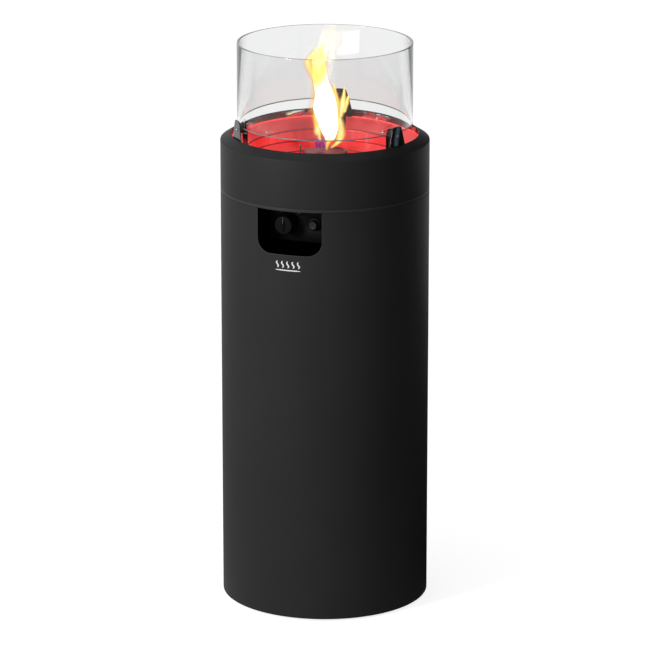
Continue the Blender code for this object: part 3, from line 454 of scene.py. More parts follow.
def clear_glass(name):
    """Tempered glass with faint wiping marks. Lamps shine through it."""
    tree = Tree(name)
    wiped = tree.noise(tree.scaled(tree.place(), (1.0, 1.0, 0.25)), 55, 5.0, 0.7)
    tree.put(tree.shader, {"Roughness": tree.span(wiped, 0.55, 0.85, 0.0, 0.05), "IOR": 1.47,
                           "Base Color": (0.875, 0.88, 0.88, 1.0), "Transmission Weight": 1.0})
    return tree.show(tree.either(tree.add("LightPath")["Is Shadow Ray"], tree.shader.outputs[0],
                                 tree.through((0.93, 0.94, 0.94, 1.0))))


MATERIALS = {
    "black_coat": powder_coat("black_coat", (0.022, 0.022, 0.0225), 0.50, 0.13),
    "seam_rubber": powder_coat("seam_band", (0.032, 0.032, 0.0325), 0.46, 0.16),
    "foot_rubber": moulded("foot_rubber", (0.012, 0.012, 0.012), 0.75, 500.0, 0.3),
    "pad_rubber": moulded("pad_silicone", (0.06, 0.06, 0.06), 0.55, 700.0, 0.4),
    "gloss_black": enamel("gloss_black", (0.006, 0.006, 0.007), 0.12),
    # Black plastic, made darker and duller still as painted shade for the control opening.
    "satin_black": moulded("satin_black", (0.003, 0.003, 0.003), 0.52, 900.0, 0.09),
    "black_plastic": moulded("black_plastic", (0.004, 0.004, 0.004), 0.55, 700.0, 0.10),
    "stainless": brushed("stainless", (0.30, 0.26, 0.25), 0.30, (1.0, 1.0, 0.15)),
    "zinc": spangled("zinc_plate", (0.55, 0.55, 0.53)),
    "brass": turned_metal("brass", (0.72, 0.50, 0.22), 0.28),
    "aluminium": brushed("aluminium", (0.78, 0.78, 0.79), 0.34, (1.0, 0.2, 1.0)),
    "copper": turned_metal("copper", (0.70, 0.34, 0.20), 0.32),
    "cast_iron": pitted("cast_iron", (0.05, 0.048, 0.046), (420, 4.0, 0.65), (30, 3.0),
                        (0.55, 0.0004), (0.5, 0.75), (0.6, 1.6), metallic=0.7),
    "white_ceramic": pitted("ceramic", (0.82, 0.80, 0.75), (1100, 2.0), (60, 4.0, 0.65),
                            (0.08, 0.0001), (0.22, 0.36), (0.82, 1.05), specular=0.5, coat=0.3),
    "red_diffuser": lit_diffuser("lit_diffuser"),
    "led_board": light_board("light_board"),
    "clear_glass": clear_glass("clear_glass"),
    "red_wire": moulded("red_silicone", (0.40, 0.02, 0.015), 0.5, 1200.0, 0.4),
    "black_wire": moulded("black_sleeve", (0.02, 0.02, 0.02), 0.5, 1200.0, 0.4),
}
LIT_BOWL = lit_bowl("lit_bowl")
GLASS_EDGE = moulded("ground_edge", (0.21, 0.24, 0.25), 0.45, 600.0, 0.3)
GLASS_LIP = moulded("polished_edge", (0.46, 0.48, 0.485), 0.25, 600.0, 0.5)
RIM_PLATING_PAINTED_REFLECTION = rim_plating_painted_reflection("rim_plating_painted_reflection")
BRACKET_BLACK = black_with_painted_highlight("bracket_black", BRACKET_ANGLES, BRACKET_OUTER, 0.0165)
# Painted shade: the black coat drawn darker on the tube's inner face and on the collar inside it.
TUBE_INSIDE_PAINTED_SHADE = powder_coat("housing_inside_painted_shade", (0.006, 0.006, 0.006), 0.6, 0.15)
# Painted shade: a coat darker still for the control panel deep in the opening.
PANEL_COAT_PAINTED_SHADE = powder_coat("panel_coat_painted_shade", (0.003, 0.003, 0.003), 0.55, 0.08)


# ---- mesh helpers ----
def polar_point(radius, degrees, height):
    angle = radians(degrees)
    return Vector((radius * sin(angle), -radius * cos(angle), height))


def added(name, data):
    """A new object in the scene."""
    thing = bpy.data.objects.new(name, data)
    bpy.context.scene.collection.objects.link(thing)
    return thing


def new_piece(mesh, body, slot, replaces=(), materials=None):
    """A piece named as its mesh, which rides on a body, may take a record slot's finish and may
    stand for CAD nodes. It wears that slot's material unless others are given."""
    piece = added(mesh.name, mesh)
    for material in materials or [MATERIALS[slot]]:
        mesh.materials.append(material)
    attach(piece, body)
    if replaces:
        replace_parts(piece, *replaces)
    return piece


def mesh_from(shape, name):
    """Turns the shape's faces outwards and makes a mesh of it."""
    bmesh.ops.recalc_face_normals(shape, faces=shape.faces)
    mesh = bpy.data.meshes.new(name)
    shape.to_mesh(mesh)
    shape.free()
    return mesh


def bridge(shape, rings):
    """Faces between each ring of vertices and the next."""
    for first, second in zip(rings, rings[1:]):
        for i in range(len(first)):
            j = (i + 1) % len(first)
            shape.faces.new([first[i], first[j], second[j], second[i]])


def soften(mesh, angle=40):
    mesh.shade_smooth()
    mesh.set_sharp_from_angle(angle=radians(angle))
    return mesh


def rounded(corners, steps=4):
    """Corners of a closed outline given as (r, z, fillet), with each fillet drawn as an arc."""
    found = []
    count = len(corners)
    for i, (r, z, fillet) in enumerate(corners):
        here = Vector((r, z))
        if fillet <= 0:
            found.append(tuple(here))
            continue
        before = Vector(corners[i - 1][:2]) - here
        after = Vector(corners[(i + 1) % count][:2]) - here
        reach = min(fillet, before.length * 0.49, after.length * 0.49)
        start = here + before.normalized() * reach
        end = here + after.normalized() * reach
        for step in range(steps + 1):
            t = step / steps
            point = start * (1 - t) ** 2 + here * 2 * t * (1 - t) + end * t ** 2
            found.append(tuple(point))
    return found


def lathe_mesh(name, outline, sides, closed=True, slot_at=None):
    """A turned mesh from (r, z) points; an open outline starts and ends on the axis.
    slot_at gives the material number of a band from the middle of its outline edge."""
    shape = bmesh.new()
    rings = []
    for r, z in outline:
        if r < 1e-7:
            rings.append([shape.verts.new((0, 0, z))])
        else:
            rings.append([shape.verts.new(polar_point(r, 360 * i / sides, z)) for i in range(sides)])
    pairs = list(zip(rings, rings[1:])) + ([(rings[-1], rings[0])] if closed else [])
    for number, (upper, lower) in enumerate(pairs):
        a, b = outline[number], outline[(number + 1) % len(outline)]
        slot = slot_at((a[0] + b[0]) / 2, (a[1] + b[1]) / 2) if slot_at else 0
        for i in range(sides):
            j = (i + 1) % sides
            ring = [upper[i % len(upper)], upper[j % len(upper)],
                    lower[j % len(lower)], lower[i % len(lower)]]
            corners = list(dict.fromkeys(ring))
            if len(corners) > 2:
                shape.faces.new(corners).material_index = slot
    return mesh_from(shape, name)


def sweep_mesh(name, path, radius, sides=10, squash=1.0, up=Vector((0, 0, 1))):
    """A round bar swept along points; radius may be a number or one value per point."""
    radii = radius if isinstance(radius, list) else [radius] * len(path)
    shape = bmesh.new()
    rings = []
    for i, point in enumerate(path):
        along = (path[min(i + 1, len(path) - 1)] - path[max(i - 1, 0)]).normalized()
        side = along.cross(up)
        side = side.normalized() if side.length > 1e-4 else along.orthogonal().normalized()
        top = side.cross(along).normalized()
        ring = []
        for k in range(sides):
            turn = 2 * pi * k / sides
            ring.append(shape.verts.new(point + side * cos(turn) * radii[i]
                                        + top * sin(turn) * radii[i] * squash))
        rings.append(ring)
    bridge(shape, rings)
    shape.faces.new(rings[0])
    shape.faces.new(rings[-1])
    return mesh_from(shape, name)


def sampled(corners, step):
    """Points along a broken line, about one step apart."""
    found = []
    for a, b in zip(corners, corners[1:]):
        count = max(1, round(dist(a, b) / step))
        found += [tuple(Vector(a).lerp(Vector(b), i / count)) for i in range(count)]
    return found + [corners[-1]]


def turned_to_front(mesh, x, height):
    """Stands a turned mesh on its side: its +Z becomes -Y, on the axis at x and height."""
    mesh.transform(Matrix.Translation((x, 0, height)) @ Matrix.Rotation(radians(90), 4, "X"))
    return mesh


def applied(piece):
    """Bakes the piece's modifiers into its mesh."""
    graph = bpy.context.evaluated_depsgraph_get()
    mesh = bpy.data.meshes.new_from_object(piece.evaluated_get(graph))
    piece.modifiers.clear()
    piece.data = mesh


def bevelled(piece, width, angle):
    """Small bevels on the edges that are sharper than the angle."""
    edges = piece.modifiers.new("Edges", "BEVEL")
    edges.width = width
    edges.segments = 2
    edges.limit_method = "ANGLE"
    edges.angle_limit = radians(angle)
    return edges


def thickened(piece, name, thickness):
    """Gives a sheet its thickness, half on each side."""
    solid = piece.modifiers.new(name, "SOLIDIFY")
    solid.thickness = thickness
    solid.offset = 0.0


def dress(node, material=None):
    """Gives a CAD node its material, soft edges and smooth shading."""
    part = frame["nodes"][node]
    part.data.materials.clear()
    part.data.materials.append(material or MATERIALS[SLOT_OF[node]])
    part.data.shade_smooth()
    weld = part.modifiers.new("Weld", "WELD")
    weld.merge_threshold = 0.00001
    bevelled(part, 0.0003, 38).harden_normals = True


# ---- housing ----
def notch_outline(grow=0.0, steps=10):
    """The control opening from the front, from its upper left corner round to its upper right."""
    half = NOTCH_HALF_WIDTH + grow
    corner = NOTCH_CORNER + grow
    low = NOTCH_BOTTOM - grow
    points = [(-half, HOUSING_HIGH.z + 0.01)]
    for centre, start in ((-half + corner, 180), (half - corner, 270)):
        for i in range(steps + 1):
            angle = radians(start + 90 * i / steps)
            points.append((centre + corner * cos(angle), low + corner + corner * sin(angle)))
    return points + [(half, HOUSING_HIGH.z + 0.01)]


def make_housing():
    outer, inner = BODY_RADIUS, BODY_RADIUS - SHEET
    low, high = HOUSING_LOW.z, HOUSING_HIGH.z
    outline = rounded([(outer, high, 0.0005), (outer, low, 0.0012), (inner, low, 0.0004),
                       (inner, high, 0.0004)])
    # The tube's inner face takes the darker coat, as painted shade.
    mesh = lathe_mesh("housing_skin", outline, FINE, slot_at=lambda r, z: int(r < inner + 0.0002))
    piece = new_piece(mesh, "base", "black_coat", ["lower_housing"],
                      [MATERIALS["black_coat"], TUBE_INSIDE_PAINTED_SHADE])
    shape = bmesh.new()
    near, far = [[shape.verts.new((x, y, z)) for x, z in notch_outline()]
                 for y in (-outer - 0.02, -outer + 0.03)]
    shape.faces.new(near)
    shape.faces.new(far[::-1])
    bridge(shape, [far, near])
    cutter = added("notch_cutter", mesh_from(shape, "notch_cutter"))
    boolean = piece.modifiers.new("Opening", "BOOLEAN")
    boolean.operation = "DIFFERENCE"
    boolean.object = cutter
    applied(piece)
    bpy.data.objects.remove(cutter)
    soften(piece.data)


def make_notch_hem():
    """The folded edge round the control opening."""
    middle = BODY_RADIUS - SHEET / 2 - 0.0001

    def wrapped(x, z):
        return Vector((x, -sqrt(middle ** 2 - x ** 2), z))

    corners = [wrapped(x, min(z, HOUSING_HIGH.z - 0.0010)) for x, z in notch_outline(0.0002, 14)]
    path = [wrapped(x, z) for x, _, z in sampled(corners, 0.004)]
    mesh = sweep_mesh("notch_hem", path, 0.00095, up=Vector((0, 1, 0)))
    new_piece(soften(mesh), "base", "black_coat", materials=[MATERIALS["seam_rubber"]])


def make_heat_mark():
    """A small plain printed sign under the opening: five rising waves over a bar."""
    strokes = [([(k * WAVE_PITCH + WAVE_SWAY * sin(2 * pi * i / 24),
                  WAVE_LOW + WAVE_TALL * i / 24) for i in range(25)], WAVE_HALF)
               for k in range(-2, 3)]
    strokes.append(([(-BAR_REACH + 2 * BAR_REACH * i / 32, BAR_HEIGHT) for i in range(33)], BAR_HALF))
    shape = bmesh.new()
    radius = BODY_RADIUS + PRINT_LIFT
    for line, half in strokes:
        sides = []
        for i, (x, z) in enumerate(line):
            ahead = Vector(line[min(i + 1, len(line) - 1)]) - Vector(line[max(i - 1, 0)])
            across = Vector((-ahead.y, ahead.x)).normalized()
            taper = half * min(1.0, 0.45 + 3.0 * min(i, len(line) - 1 - i) / len(line))
            pair = []
            for sign in (-1, 1):
                u = Vector((x, z)) + across * taper * sign
                pair.append(shape.verts.new((u.x, -sqrt(radius ** 2 - u.x ** 2), u.y)))
            sides.append(pair)
        for (a, b), (c, d) in zip(sides, sides[1:]):
            shape.faces.new([a, b, d, c])
    mesh = mesh_from(shape, "heat_mark")
    tree = Tree("white_print")
    wear_and_painted_highlight = tree.noise(tree.place(), 900, 3.0, 0.6)
    print_white = tree.finish((wear_and_painted_highlight, 0.3, 0.7, 0.35, 0.6), 0.0, 0.5,
                              tree.ramp(wear_and_painted_highlight, shades((0.82, 0.82, 0.80), 0.85, 1.08)))
    piece = new_piece(mesh, "base", "black_coat", materials=[print_white])
    thickened(piece, "Print", PRINT_THICK)
    applied(piece)


# ---- head ----
def make_head():
    outer, inner = BODY_RADIUS, BODY_RADIUS - SHEET
    low, top = HEAD_LOW.z, HEAD_HIGH.z
    turn = top - BEVEL_DROP
    slope = BEVEL_DROP / (outer - RIM_RADIUS)
    back = RIM_RADIUS + SHEET
    outline = rounded([
        (RIM_RADIUS, top, 0.0012), (outer, turn, 0.0014), (outer, low, 0.0008), (inner, low, 0.0004),
        (inner, turn - SHEET * slope, 0.0), (back, top - SHEET * (1 + 2 * slope), 0.0),
        (back, top - RIM_WALL, 0.0003),
    ] + [(RIM_RADIUS - RIM_BULGE * sin(pi * i / 8), top - RIM_WALL * (1 - i / 9), 0.0)
         for i in range(8)])
    mesh = lathe_mesh("head_skin", outline, FINE,
                      slot_at=lambda r, z: int(r < RIM_RADIUS + 0.0004 and z < top - RIM_LIP))
    new_piece(soften(mesh), "head", "black_coat", ["head_shell"],
              [MATERIALS["black_coat"], RIM_PLATING_PAINTED_REFLECTION])
    band = rounded([(outer, GASKET_HIGH.z, 0.0006), (outer, GASKET_LOW.z, 0.0006),
                    (inner, GASKET_LOW.z, 0.0), (inner, GASKET_HIGH.z, 0.0)])
    new_piece(soften(lathe_mesh("seam_band", band, FINE)), "head", "seam_rubber", ["seam_gasket"])


def ledge_height(radius):
    return BOWL_HIGH.z - LEDGE_FALL * (LEDGE_OUT - radius) / (LEDGE_OUT - LEDGE_IN)


def make_bowl():
    """The pressed reflector, with soft corners at each step."""
    top = BOWL_HIGH.z
    face = [(0.0540, 0.0545, 0), (0.1085, 0.0525, 0.0015), (0.110, 0.0510, 0.001),
            (0.110, 0.0455, 0.001), (0.1115, 0.0440, 0.001), (0.1385, 0.0335, 0.002),
            (0.140, 0.0320, 0.001), (0.140, 0.0145, 0.001), (0.1415, 0.0130, 0.0015),
            (0.168, 0.0, 0.002), (0.180, 0.0, 0)]
    upper = rounded([(r, top - fall, fillet) for r, fall, fillet in face], 5)
    lower = [(r + 0.0004, z - 0.0011) for r, z in reversed(upper)]
    mesh = lathe_mesh("bowl_skin", upper + lower, FINE)
    new_piece(soften(mesh, 50), "head", "stainless", ["reflector_bowl"], [LIT_BOWL])


def make_light_ring():
    for node, name, wall in LIGHT_RINGS:
        low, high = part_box(node)
        outer, inner = high.x, high.x - wall
        outline = rounded([(outer, high.z, 0.0003), (outer, low.z, 0.0003), (inner, low.z, 0.0003),
                           (inner, high.z, 0.0003)], 3)
        new_piece(soften(lathe_mesh(name, outline, FINE)), "head", SLOT_OF[node], [node])


def make_glass():
    outer, inner = GLASS_HIGH.x, GLASS_HIGH.x - GLASS_WALL
    outline = rounded([(outer, GLASS_HIGH.z, 0.0014), (outer, GLASS_LOW.z + GROUND_BAND, 0.0),
                       (outer, GLASS_LOW.z, 0.0014), (inner, GLASS_LOW.z, 0.0014),
                       (inner, GLASS_LOW.z + GROUND_BAND, 0.0), (inner, GLASS_HIGH.z, 0.0014)], 6)
    middle = outer - GLASS_WALL / 2

    def finish_at(r, z):
        """1 on the ground lower band, 2 on the polished top and 0 on the clear walls."""
        if z < GLASS_LOW.z + GROUND_BAND:
            return 1
        return 2 if abs(r - middle) < GLASS_WALL / 2 - 0.0004 else 0

    mesh = lathe_mesh("glass_shield", outline, FINE, slot_at=finish_at)
    new_piece(soften(mesh, 60), "glass", "clear_glass", ["glass_cylinder"],
              [MATERIALS["clear_glass"], GLASS_EDGE, GLASS_LIP])


# ---- burner ----
def make_burner():
    """The burner's cup and its cap, whose edge is cut into a ring of flame ports."""
    outer, low, top = CUP_HIGH.x, CUP_LOW.z, CUP_HIGH.z
    cup = rounded([(outer, top, 0.0008), (outer, low + 0.009, 0.004), (0.030, low, 0.003),
                   (0.0113, low, 0.0003), (0.0113, low + 0.002, 0.0003),
                   (0.029, low + 0.002, 0.002), (outer - 0.002, low + 0.010, 0.003),
                   (outer - 0.002, top, 0.0005)])
    new_piece(soften(lathe_mesh("burner_bowl", cup, SMALL)), "head", "cast_iron", ["burner_cup"])
    sides = PORTS * 4
    outer, low, top = CAP_HIGH.x, CAP_LOW.z, CAP_HIGH.z
    outline = [(0.0, top - 0.0012), (0.006, top - 0.0011), (0.0095, top - 0.0002), (0.013, top),
               (0.031, top), (0.034, top - 0.0003), (0.0385, top - 0.0010), (outer, top - 0.0018),
               (outer, low + (top - low) * 0.3), (outer - 0.0006, low), (0.0, low)]
    mesh = lathe_mesh("burner_lid", outline, sides, closed=False)
    for vertex in mesh.vertices:
        radius = hypot(vertex.co.x, vertex.co.y)
        if radius > 0.0345:
            step = round(atan2(vertex.co.x, -vertex.co.y) * sides / (2 * pi)) % 4
            if step in (1, 2):
                vertex.co.xy *= 1 - PORT_DEPTH / radius
    # The cap's red tint is painted reflection of the bowl's red light.
    new_piece(soften(mesh, 35), "head", "stainless", ["burner_cap"],
              [brushed("steel_painted_red_light", (0.30, 0.035, 0.045), 0.34, (1.0, 1.0, 0.2))])


# ---- flame ----
def flame_material(name, colours, strength, alpha, top):
    """Glowing gas: its colour changes with height, and it thins out in licks towards its top."""
    tree = Tree(name)
    place = tree.place()
    height = tree.span(tree.parts(place)[2], FLAME_LOW, FLAME_LOW + FLAME_TALL * top)
    licks = tree.noise(tree.scaled(place, (1.0, 1.0, 0.28)), 60, 3.0, 0.55, 0.6)
    wave = tree.plus(height, tree.times(tree.maths("SUBTRACT", licks, 0.5), 0.5))
    colour = tree.ramp(wave, list(zip((0.0, 0.2, 0.62, 1.0), colours)))
    root = (0.10, 0.30, 0.0, 1.0) if strength > CORE_STRENGTH else (0.0, 0.16, 0.12, 1.0)
    fade_low = tree.span(height, *root, smooth=True)
    fade_high = tree.span(wave, 0.72, 1.08, 1.0, 0.0, smooth=True)
    thin = tree.span(licks, 0.34, 0.60, 0.10 if alpha < 0.3 else 0.60, 1.0)
    see = tree.times(tree.times(fade_low, fade_high), tree.times(thin, alpha), clamp=True)
    return tree.show(tree.either(see, tree.through(), tree.glow(colour, strength)))


def add_lick(shape, spine, width, phase, swell, sides=20, rings=34):
    """One lick of flame: a tapering folded tube along a wavering spine."""
    loops = []
    for k in range(rings + 1):
        t = k / rings
        spot = t * (len(spine) - 1)
        i = min(int(spot), len(spine) - 2)
        f = spot - i
        a, b = spine[i], spine[i + 1]
        before = spine[max(i - 1, 0)]
        after = spine[min(i + 2, len(spine) - 1)]
        centre = 0.5 * (2 * a + (b - before) * f + (2 * before - 5 * a + 4 * b - after) * f * f
                        + (3 * a - before - 3 * b + after) * f ** 3)
        belly = width[i] * (1 - f) + width[i + 1] * f
        ring = []
        for m in range(sides):
            turn = 2 * pi * m / sides
            fold = 1 + 0.16 * sin(3 * turn + phase + 6 * t) * t + 0.07 * sin(5 * turn - 9 * t + phase)
            r = max(belly * swell * fold, 0.00015)
            ring.append(shape.verts.new(centre + Vector((cos(turn) * r, sin(turn) * r * 0.8, 0))))
        loops.append(ring)
    bridge(shape, loops)
    shape.faces.new(loops[0][::-1])
    shape.faces.new(loops[-1])


def smooth_spine(points):
    """(sideways, height) pairs as places in the plane that faces the front right."""
    turn = radians(VIEW_ANGLE)
    return [Vector((u * cos(turn), u * sin(turn), z)) for u, z in points]


def make_flame():
    """The flame, as nested glowing shells that thin out towards the outside."""
    for number, (swell, top, alpha, strength, colours, licks) in enumerate(SHELLS, 1):
        merged = bmesh.new()
        for points, width, phase in [BODY] + (LICKS + [TAIL])[:licks]:
            spine = smooth_spine([(u, FLAME_LOW + z) for u, z in points])
            add_lick(merged, spine, width, phase, swell)
        for vertex in merged.verts:
            vertex.co.z = min(vertex.co.z, FLAME_HIGH)
        name = f"flame_{number}"
        mesh = bpy.data.meshes.new(name)
        merged.to_mesh(mesh)
        merged.free()
        mesh.shade_smooth()
        piece = flame_piece(mesh, flame_material(name, colours, strength, alpha, top))
        piece.visible_glossy = strength < CORE_STRENGTH


def flame_piece(mesh, material):
    piece = new_piece(mesh, "head", None, materials=[material])
    piece.visible_shadow = False
    return piece


def make_flame_base():
    """The low blue and violet root of the flame, just above the burner."""
    tree = Tree("flame_base")
    place = tree.place()
    low, high = FLAME_LOW + 0.006, FLAME_LOW + 0.038
    height = tree.span(tree.parts(place)[2], low, high)
    licks = tree.noise(tree.scaled(place, (1.0, 1.0, 0.16)), 240, 3.0, 0.6, 0.8)
    colour = tree.ramp(height, [(0.0, (0.12, 0.02, 0.26)), (0.40, (0.42, 0.04, 0.26)),
                                (0.75, (0.85, 0.12, 0.14)), (1.0, (1.0, 0.40, 0.10))])
    see = tree.times(tree.span(licks, 0.36, 0.62, 0.0, 0.62, smooth=True),
                     tree.span(height, 0.55, 1.0, 1.0, 0.0, smooth=True), clamp=True)
    outline = [(0.0080, low), (0.0110, low + 0.008), (0.0105, low + 0.020), (0.0080, high),
               (0.0075, high - 0.0005), (0.0100, low + 0.0195), (0.0100, low + 0.008), (0.0070, low)]
    mesh = lathe_mesh("flame_base", outline, 72)
    for vertex in mesh.vertices:
        angle = atan2(vertex.co.x, -vertex.co.y)
        rise = (vertex.co.z - low) / (high - low)
        vertex.co.z += 0.003 * rise * sin(5 * angle + 1.0) + 0.002 * rise * sin(9 * angle)
        vertex.co.z -= 0.002 * (1 - rise) * sin(7 * angle)
    mesh.transform(Matrix.Translation(smooth_spine([(-0.0075, 0.0)])[0]))
    mesh.shade_smooth()
    flame_piece(mesh, tree.show(tree.either(see, tree.through(), tree.glow(colour, 0.9))))


# ---- brackets ----
def strip_mesh(shape, corners, half_width, corner, columns=12):
    """A bent strip of sheet along corners given as (outwards, height): half width by height, with
    round corners of that radius at its last end."""
    line = sampled(corners, 0.0012)
    distance = [0.0]
    for a, b in zip(line, line[1:]):
        distance.append(distance[-1] + dist(a, b))
    grid = []
    for (r, z), run in zip(line, distance):
        half = half_width(z)
        left = distance[-1] - run
        if left < corner:
            half -= corner - sqrt(max(0.0, corner ** 2 - (corner - left) ** 2))
        grid.append([shape.verts.new((half * (2 * c / columns - 1), -r, z))
                     for c in range(columns + 1)])
    for first, second in zip(grid, grid[1:]):
        for c in range(columns):
            shape.faces.new([first[c], first[c + 1], second[c + 1], second[c]])


def make_brackets():
    """Bent sheet brackets with round upper corners: an outer plate, an inner plate and a shelf."""
    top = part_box("glass_bracket_1")[1].z
    low = BOWL_HIGH.z + 0.0012
    shelf = GLASS_LOW.z - 0.0045
    toe, heel = LEDGE_IN + 0.002, BRACKET_INNER + BRACKET_SHEET / 2
    outside = BRACKET_OUTER - BRACKET_SHEET / 2
    toe_low, heel_low = ledge_height(toe) + 0.0012, ledge_height(heel) + 0.0012

    def flared(z):
        share = min(1.0, max(0.0, (top - z) / BRACKET_FLARE))
        return BRACKET_HALF + BRACKET_GAIN * share ** 0.85

    for number, angle in enumerate(BRACKET_ANGLES, 1):
        shape = bmesh.new()
        strip_mesh(shape, [(outside, low), (outside, top)], flared, 0.005)
        strip_mesh(shape, [(toe, toe_low), (heel - 0.001, heel_low), (heel, heel_low + 0.0015),
                           (heel, top - 0.005)], lambda z: INNER_HALF, 0.0045)
        strip_mesh(shape, [(BRACKET_INNER + BRACKET_SHEET, shelf),
                           (BRACKET_OUTER - BRACKET_SHEET, shelf)], lambda z: SHELF_HALF, 0.0)
        mesh = mesh_from(shape, f"bracket_{number}")
        mesh.transform(Matrix.Rotation(radians(angle), 4, "Z"))
        piece = new_piece(mesh, "head", "gloss_black", [f"glass_bracket_{number}"], [BRACKET_BLACK])
        thickened(piece, "Sheet", BRACKET_SHEET)
        bevelled(piece, 0.0004, 50)
        applied(piece)
        soften(piece.data, 45)


# ---- controls ----
def facing(node):
    """A round control's x and height, its radius, and its back and face along its own axis."""
    low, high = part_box(node)
    return (low.x + high.x) / 2, (low.z + high.z) / 2, (high.x - low.x) / 2, -high.y, -low.y


def make_knob():
    """A fluted knob with a raised pointer and a white line, and the marks of its dial."""
    x, height, radius, back, face = facing("control_knob")
    face -= KNOB_RIB
    profile = rounded([(radius, back, 0.0005), (radius, face - 0.0120, 0.004),
                       (radius - 0.0025, face, 0.0022), (0.0, face, 0)], 6)[:-1]
    outline = [(0.0, face)] + profile[::-1] + [
        (radius - 0.002, back), (radius - 0.003, face - 0.004), (0.0062, face - 0.004),
        (0.0062, back + 0.003), (0.0034, back + 0.003), (0.0034, face - 0.005), (0.0, face - 0.005)]
    mesh = lathe_mesh("knob_body", outline, 120, closed=False)
    for vertex in mesh.vertices:
        r = hypot(vertex.co.x, vertex.co.y)
        if r > radius - 0.0026 and vertex.co.z < face - 0.0035:
            angle = atan2(vertex.co.y, vertex.co.x)
            vertex.co.xy *= 1 - FLUTE_DEPTH * (0.5 + 0.5 * cos(KNOB_FLUTES * angle)) / r
    turned_to_front(mesh, x, height)
    new_piece(soften(mesh, 32), "knob", "satin_black", ["control_knob"])
    rib = sweep_mesh("knob_rib", [Vector((0, -0.012 + 0.0285 * i / 20, face - 0.0002))
                                  for i in range(21)],
                     [0.0032 * min(1.0, 0.3 + 3.2 * min(i, 20 - i) / 20) for i in range(21)], 16, 0.7)
    turned_to_front(rib, x, height)
    new_piece(soften(rib), "knob", "satin_black")
    line = sweep_mesh("knob_line", [Vector((0, 0.004 + 0.0115 * i / 8, face + 0.00195))
                                    for i in range(9)], 0.00055, 8, 0.4)
    turned_to_front(line, x, height)
    # The white line and the dial marks are drawn dim grey, as painted shade in the control opening.
    white = moulded("pale_line_in_painted_shade", (0.10, 0.10, 0.097), 0.5)
    new_piece(soften(line), "knob", "satin_black", materials=[white])
    marks = turned_to_front(dial_marks(radius + 0.0022), x, height)
    new_piece(marks, "head", "satin_black", materials=[white])


def dial_marks(start):
    """Nine ticks from that radius outwards, long and short by turns."""
    shape = bmesh.new()
    front = -PANEL_LOW.y + 0.00012
    for k in range(-4, 5):
        turn = radians(k * 22.5)
        long = 0.0028 if k % 2 == 0 else 0.0018
        along = Vector((sin(turn), cos(turn), 0))
        across = Vector((along.y, -along.x, 0)) * 0.0004
        near, far = along * start, along * (start + long)
        low, high = [[shape.verts.new(corner + Vector((0, 0, depth))) for corner in
                      (near - across, near + across, far + across, far - across)]
                     for depth in (front, front + 0.0001)]
        shape.faces.new(high)
        shape.faces.new(low[::-1])
        bridge(shape, [low, high])
    return mesh_from(shape, "dial_marks")


def round_control(name, node, body, outline):
    x, height = facing(node)[:2]
    mesh = turned_to_front(lathe_mesh(name, outline, SMALL, closed=False), x, height)
    new_piece(soften(mesh), body, SLOT_OF[node], [node])


def round_button(name, node, body, dish):
    """A push button with a soft edge and a shallow dished face."""
    radius, back, face = facing(node)[2:]
    outline = [(0.0, face - dish)]
    outline += [(radius * 0.8 * i / 8, face - dish * (1 - (i / 8) ** 2)) for i in range(1, 9)]
    outline += [(radius - 0.0006, face - 0.0001), (radius - 0.0001, face - 0.0008),
                (radius, face - 0.0016), (radius, back), (0.0, back)]
    round_control(name, node, body, outline)


def round_bezel(name, node, inner, wall, depth):
    """The flanged sleeve that a push button travels in: its bore, the step from its flange to its
    barrel, and the height of its floor."""
    flange, back, face = facing(node)[2:]
    barrel = flange - wall
    seat = -PANEL_LOW.y + 0.0003
    round_control(name, node, "head", [
        (0.0, back + depth), (inner, back + depth), (inner, face), (inner + 0.0006, face),
        (flange - 0.0012, face - 0.0006), (flange, seat + 0.0008), (flange, seat), (barrel, seat),
        (barrel, back), (0.0, back)])


def make_controls():
    make_knob()
    round_button("igniter_cap", "igniter_button", "igniter_push", 0.0008)
    round_button("lamp_cap", "lamp_button", "lamp_push", 0.0003)
    round_bezel("igniter_sleeve", "igniter_body", 0.0079, 0.0029, 0.015)
    round_bezel("lamp_sleeve", "lamp_switch_body", 0.0038, 0.0021, 0.007)


# ---- stage, lights and camera ----
def surround(tree, vector):
    """The studio's light by direction, pale in front, behind and on the left and dark on the
    right, and the direction's height."""
    x, y, z = tree.parts(vector)
    turned = tree.maths("MULTIPLY_ADD", tree.angle(x, y), 1 / (2 * pi), 0.5 - VIEW_ANGLE / 360)
    stops = [(place / 360 + 0.5, (level, level, level)) for place, level in SURROUND]
    return tree.ramp(tree.maths("WRAP", turned, 1.0, 0.0), stops), z


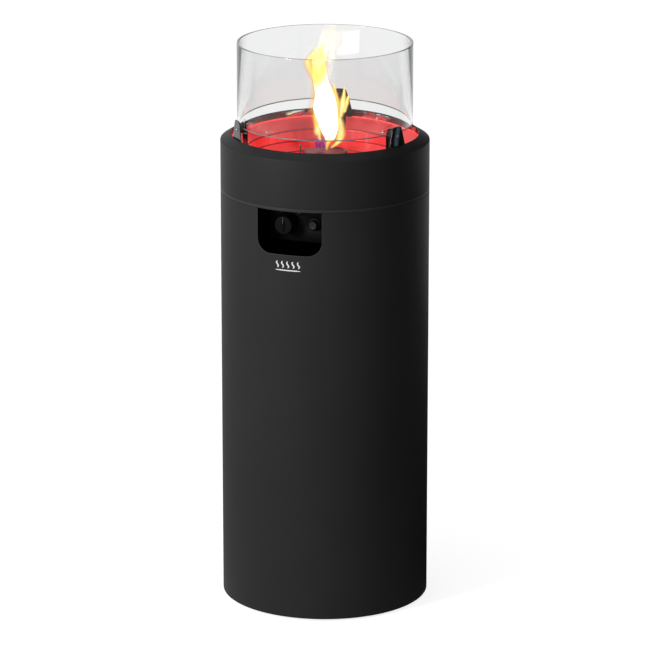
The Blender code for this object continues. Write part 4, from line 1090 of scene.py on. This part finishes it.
def make_stage():
    """A plain pale floor that reads as white paper; a soft shadow falls on it. The light that it
    sends back to the object is that of the surround, and white far behind the column."""
    tree = Tree("pale_floor")
    path = tree.add("LightPath")
    behind = tree.add("VectorMath", (tree.place(), -polar_point(1.0, VIEW_ANGLE, 0.0)),
                      operation="DOT_PRODUCT")["Value"]
    open_floor = tree.span(behind, *FLOOR_OPENS, smooth=True)
    back = tree.glow(tree.colours(open_floor, surround(tree, tree.place())[0], WHITE),
                     tree.span(open_floor, 0.0, 1.0, FLOOR_SHARE, 1.0))
    paper = tree.add("BsdfDiffuse", ((0.55, 0.55, 0.55, 1.0),))[0]
    lit = tree.add("AddShader", (paper, tree.glow(WHITE, 0.83)))[0]
    unseen = tree.either(path["Is Transmission Ray"], back, tree.glow(WHITE))
    bpy.ops.mesh.primitive_circle_add(vertices=96, radius=60, fill_type="NGON")
    floor = bpy.context.object
    floor.name = "floor"
    floor.data.materials.append(tree.show(tree.either(path["Is Camera Ray"], unseen, lit)))
    floor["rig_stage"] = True


def make_world():
    """A white surround for the camera, and the studio's uneven light for everything else."""
    world = bpy.data.worlds.new("studio")
    bpy.context.scene.world = world
    tree = Tree("studio", world)
    path = tree.add("LightPath")
    seen = tree.maths("MAXIMUM", path["Is Camera Ray"], path["Is Transmission Ray"])
    colour, height = surround(tree, tree.place("Generated"))
    dimmed = tree.colours(1.0, colour, tree.span(height, 0.0, 1.0, *SKY_FALL), "MULTIPLY")
    tree.put(tree.nodes["Background"], {"Color": tree.colours(seen, dimmed, WHITE)})


def area_lamp(name, width, tall, watts):
    data = bpy.data.lights.new(name, "AREA")
    data.shape = "RECTANGLE"
    data.size, data.size_y = width, tall
    data.energy = watts
    return added(name, data)


def make_key_light():
    lamp = area_lamp("key", KEY_SIZE, KEY_SIZE, KEY_WATTS)
    lamp.location = polar_point(KEY_DISTANCE, VIEW_ANGLE + KEY_ANGLE, KEY_HEIGHT)
    aim = Vector((0, 0, KEY_AIM)) - lamp.location
    lamp.rotation_euler = aim.to_track_quat("-Z", "Y").to_euler()


def make_flame_light():
    """The flame's glow for gloss alone, beside the flame and facing the back of the glass."""
    turn = Matrix.Rotation(radians(VIEW_ANGLE), 4, "Z")
    for number, (width, tall, radiance, colour) in enumerate(FLAME_LIGHTS):
        lamp = area_lamp("flame_glow", width, tall, radiance * 4 * width * tall)
        lamp.data.color = colour
        lamp.visible_diffuse = lamp.visible_transmission = False
        at = Vector(FLAME_LIGHT_AT) + Vector((0, 0.001 * number, 0))
        lamp.matrix_world = turn @ Matrix.Translation(at) @ Matrix.Rotation(radians(90), 4, "X")


def make_camera():
    data = bpy.data.cameras.new("camera")
    data.lens = CAMERA_LENS
    data.sensor_width = 36.0
    data.clip_start, data.clip_end = 0.1, 200.0
    camera = added("camera", data)
    camera.location = polar_point(CAMERA_DISTANCE, VIEW_ANGLE, CAMERA_HEIGHT)
    camera.rotation_euler = (radians(90 - CAMERA_PITCH), 0, radians(VIEW_ANGLE))
    bpy.context.scene.camera = camera


make_camera()
make_world()
make_stage()
make_key_light()
make_flame_light()
make_housing()
make_notch_hem()
make_heat_mark()
make_head()
make_bowl()
make_light_ring()
make_glass()
make_brackets()
make_burner()
make_flame_base()
make_flame()
make_controls()

# Painted shade: the control panel and the centring collar wear the darker coats.
SPECIAL = {"control_panel": PANEL_COAT_PAINTED_SHADE, "centring_collar": TUBE_INSIDE_PAINTED_SHADE}
replaced = {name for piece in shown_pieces() if "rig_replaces" in piece for name in piece["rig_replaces"]}
for node in sorted(set(frame["nodes"]) - replaced):
    dress(node, SPECIAL.get(node))

scene = bpy.context.scene
scene.view_settings.view_transform = "Standard"
scene.cycles.max_bounces, scene.cycles.glossy_bounces = 24, 16
scene.cycles.transmission_bounces, scene.cycles.transparent_max_bounces = 20, 64
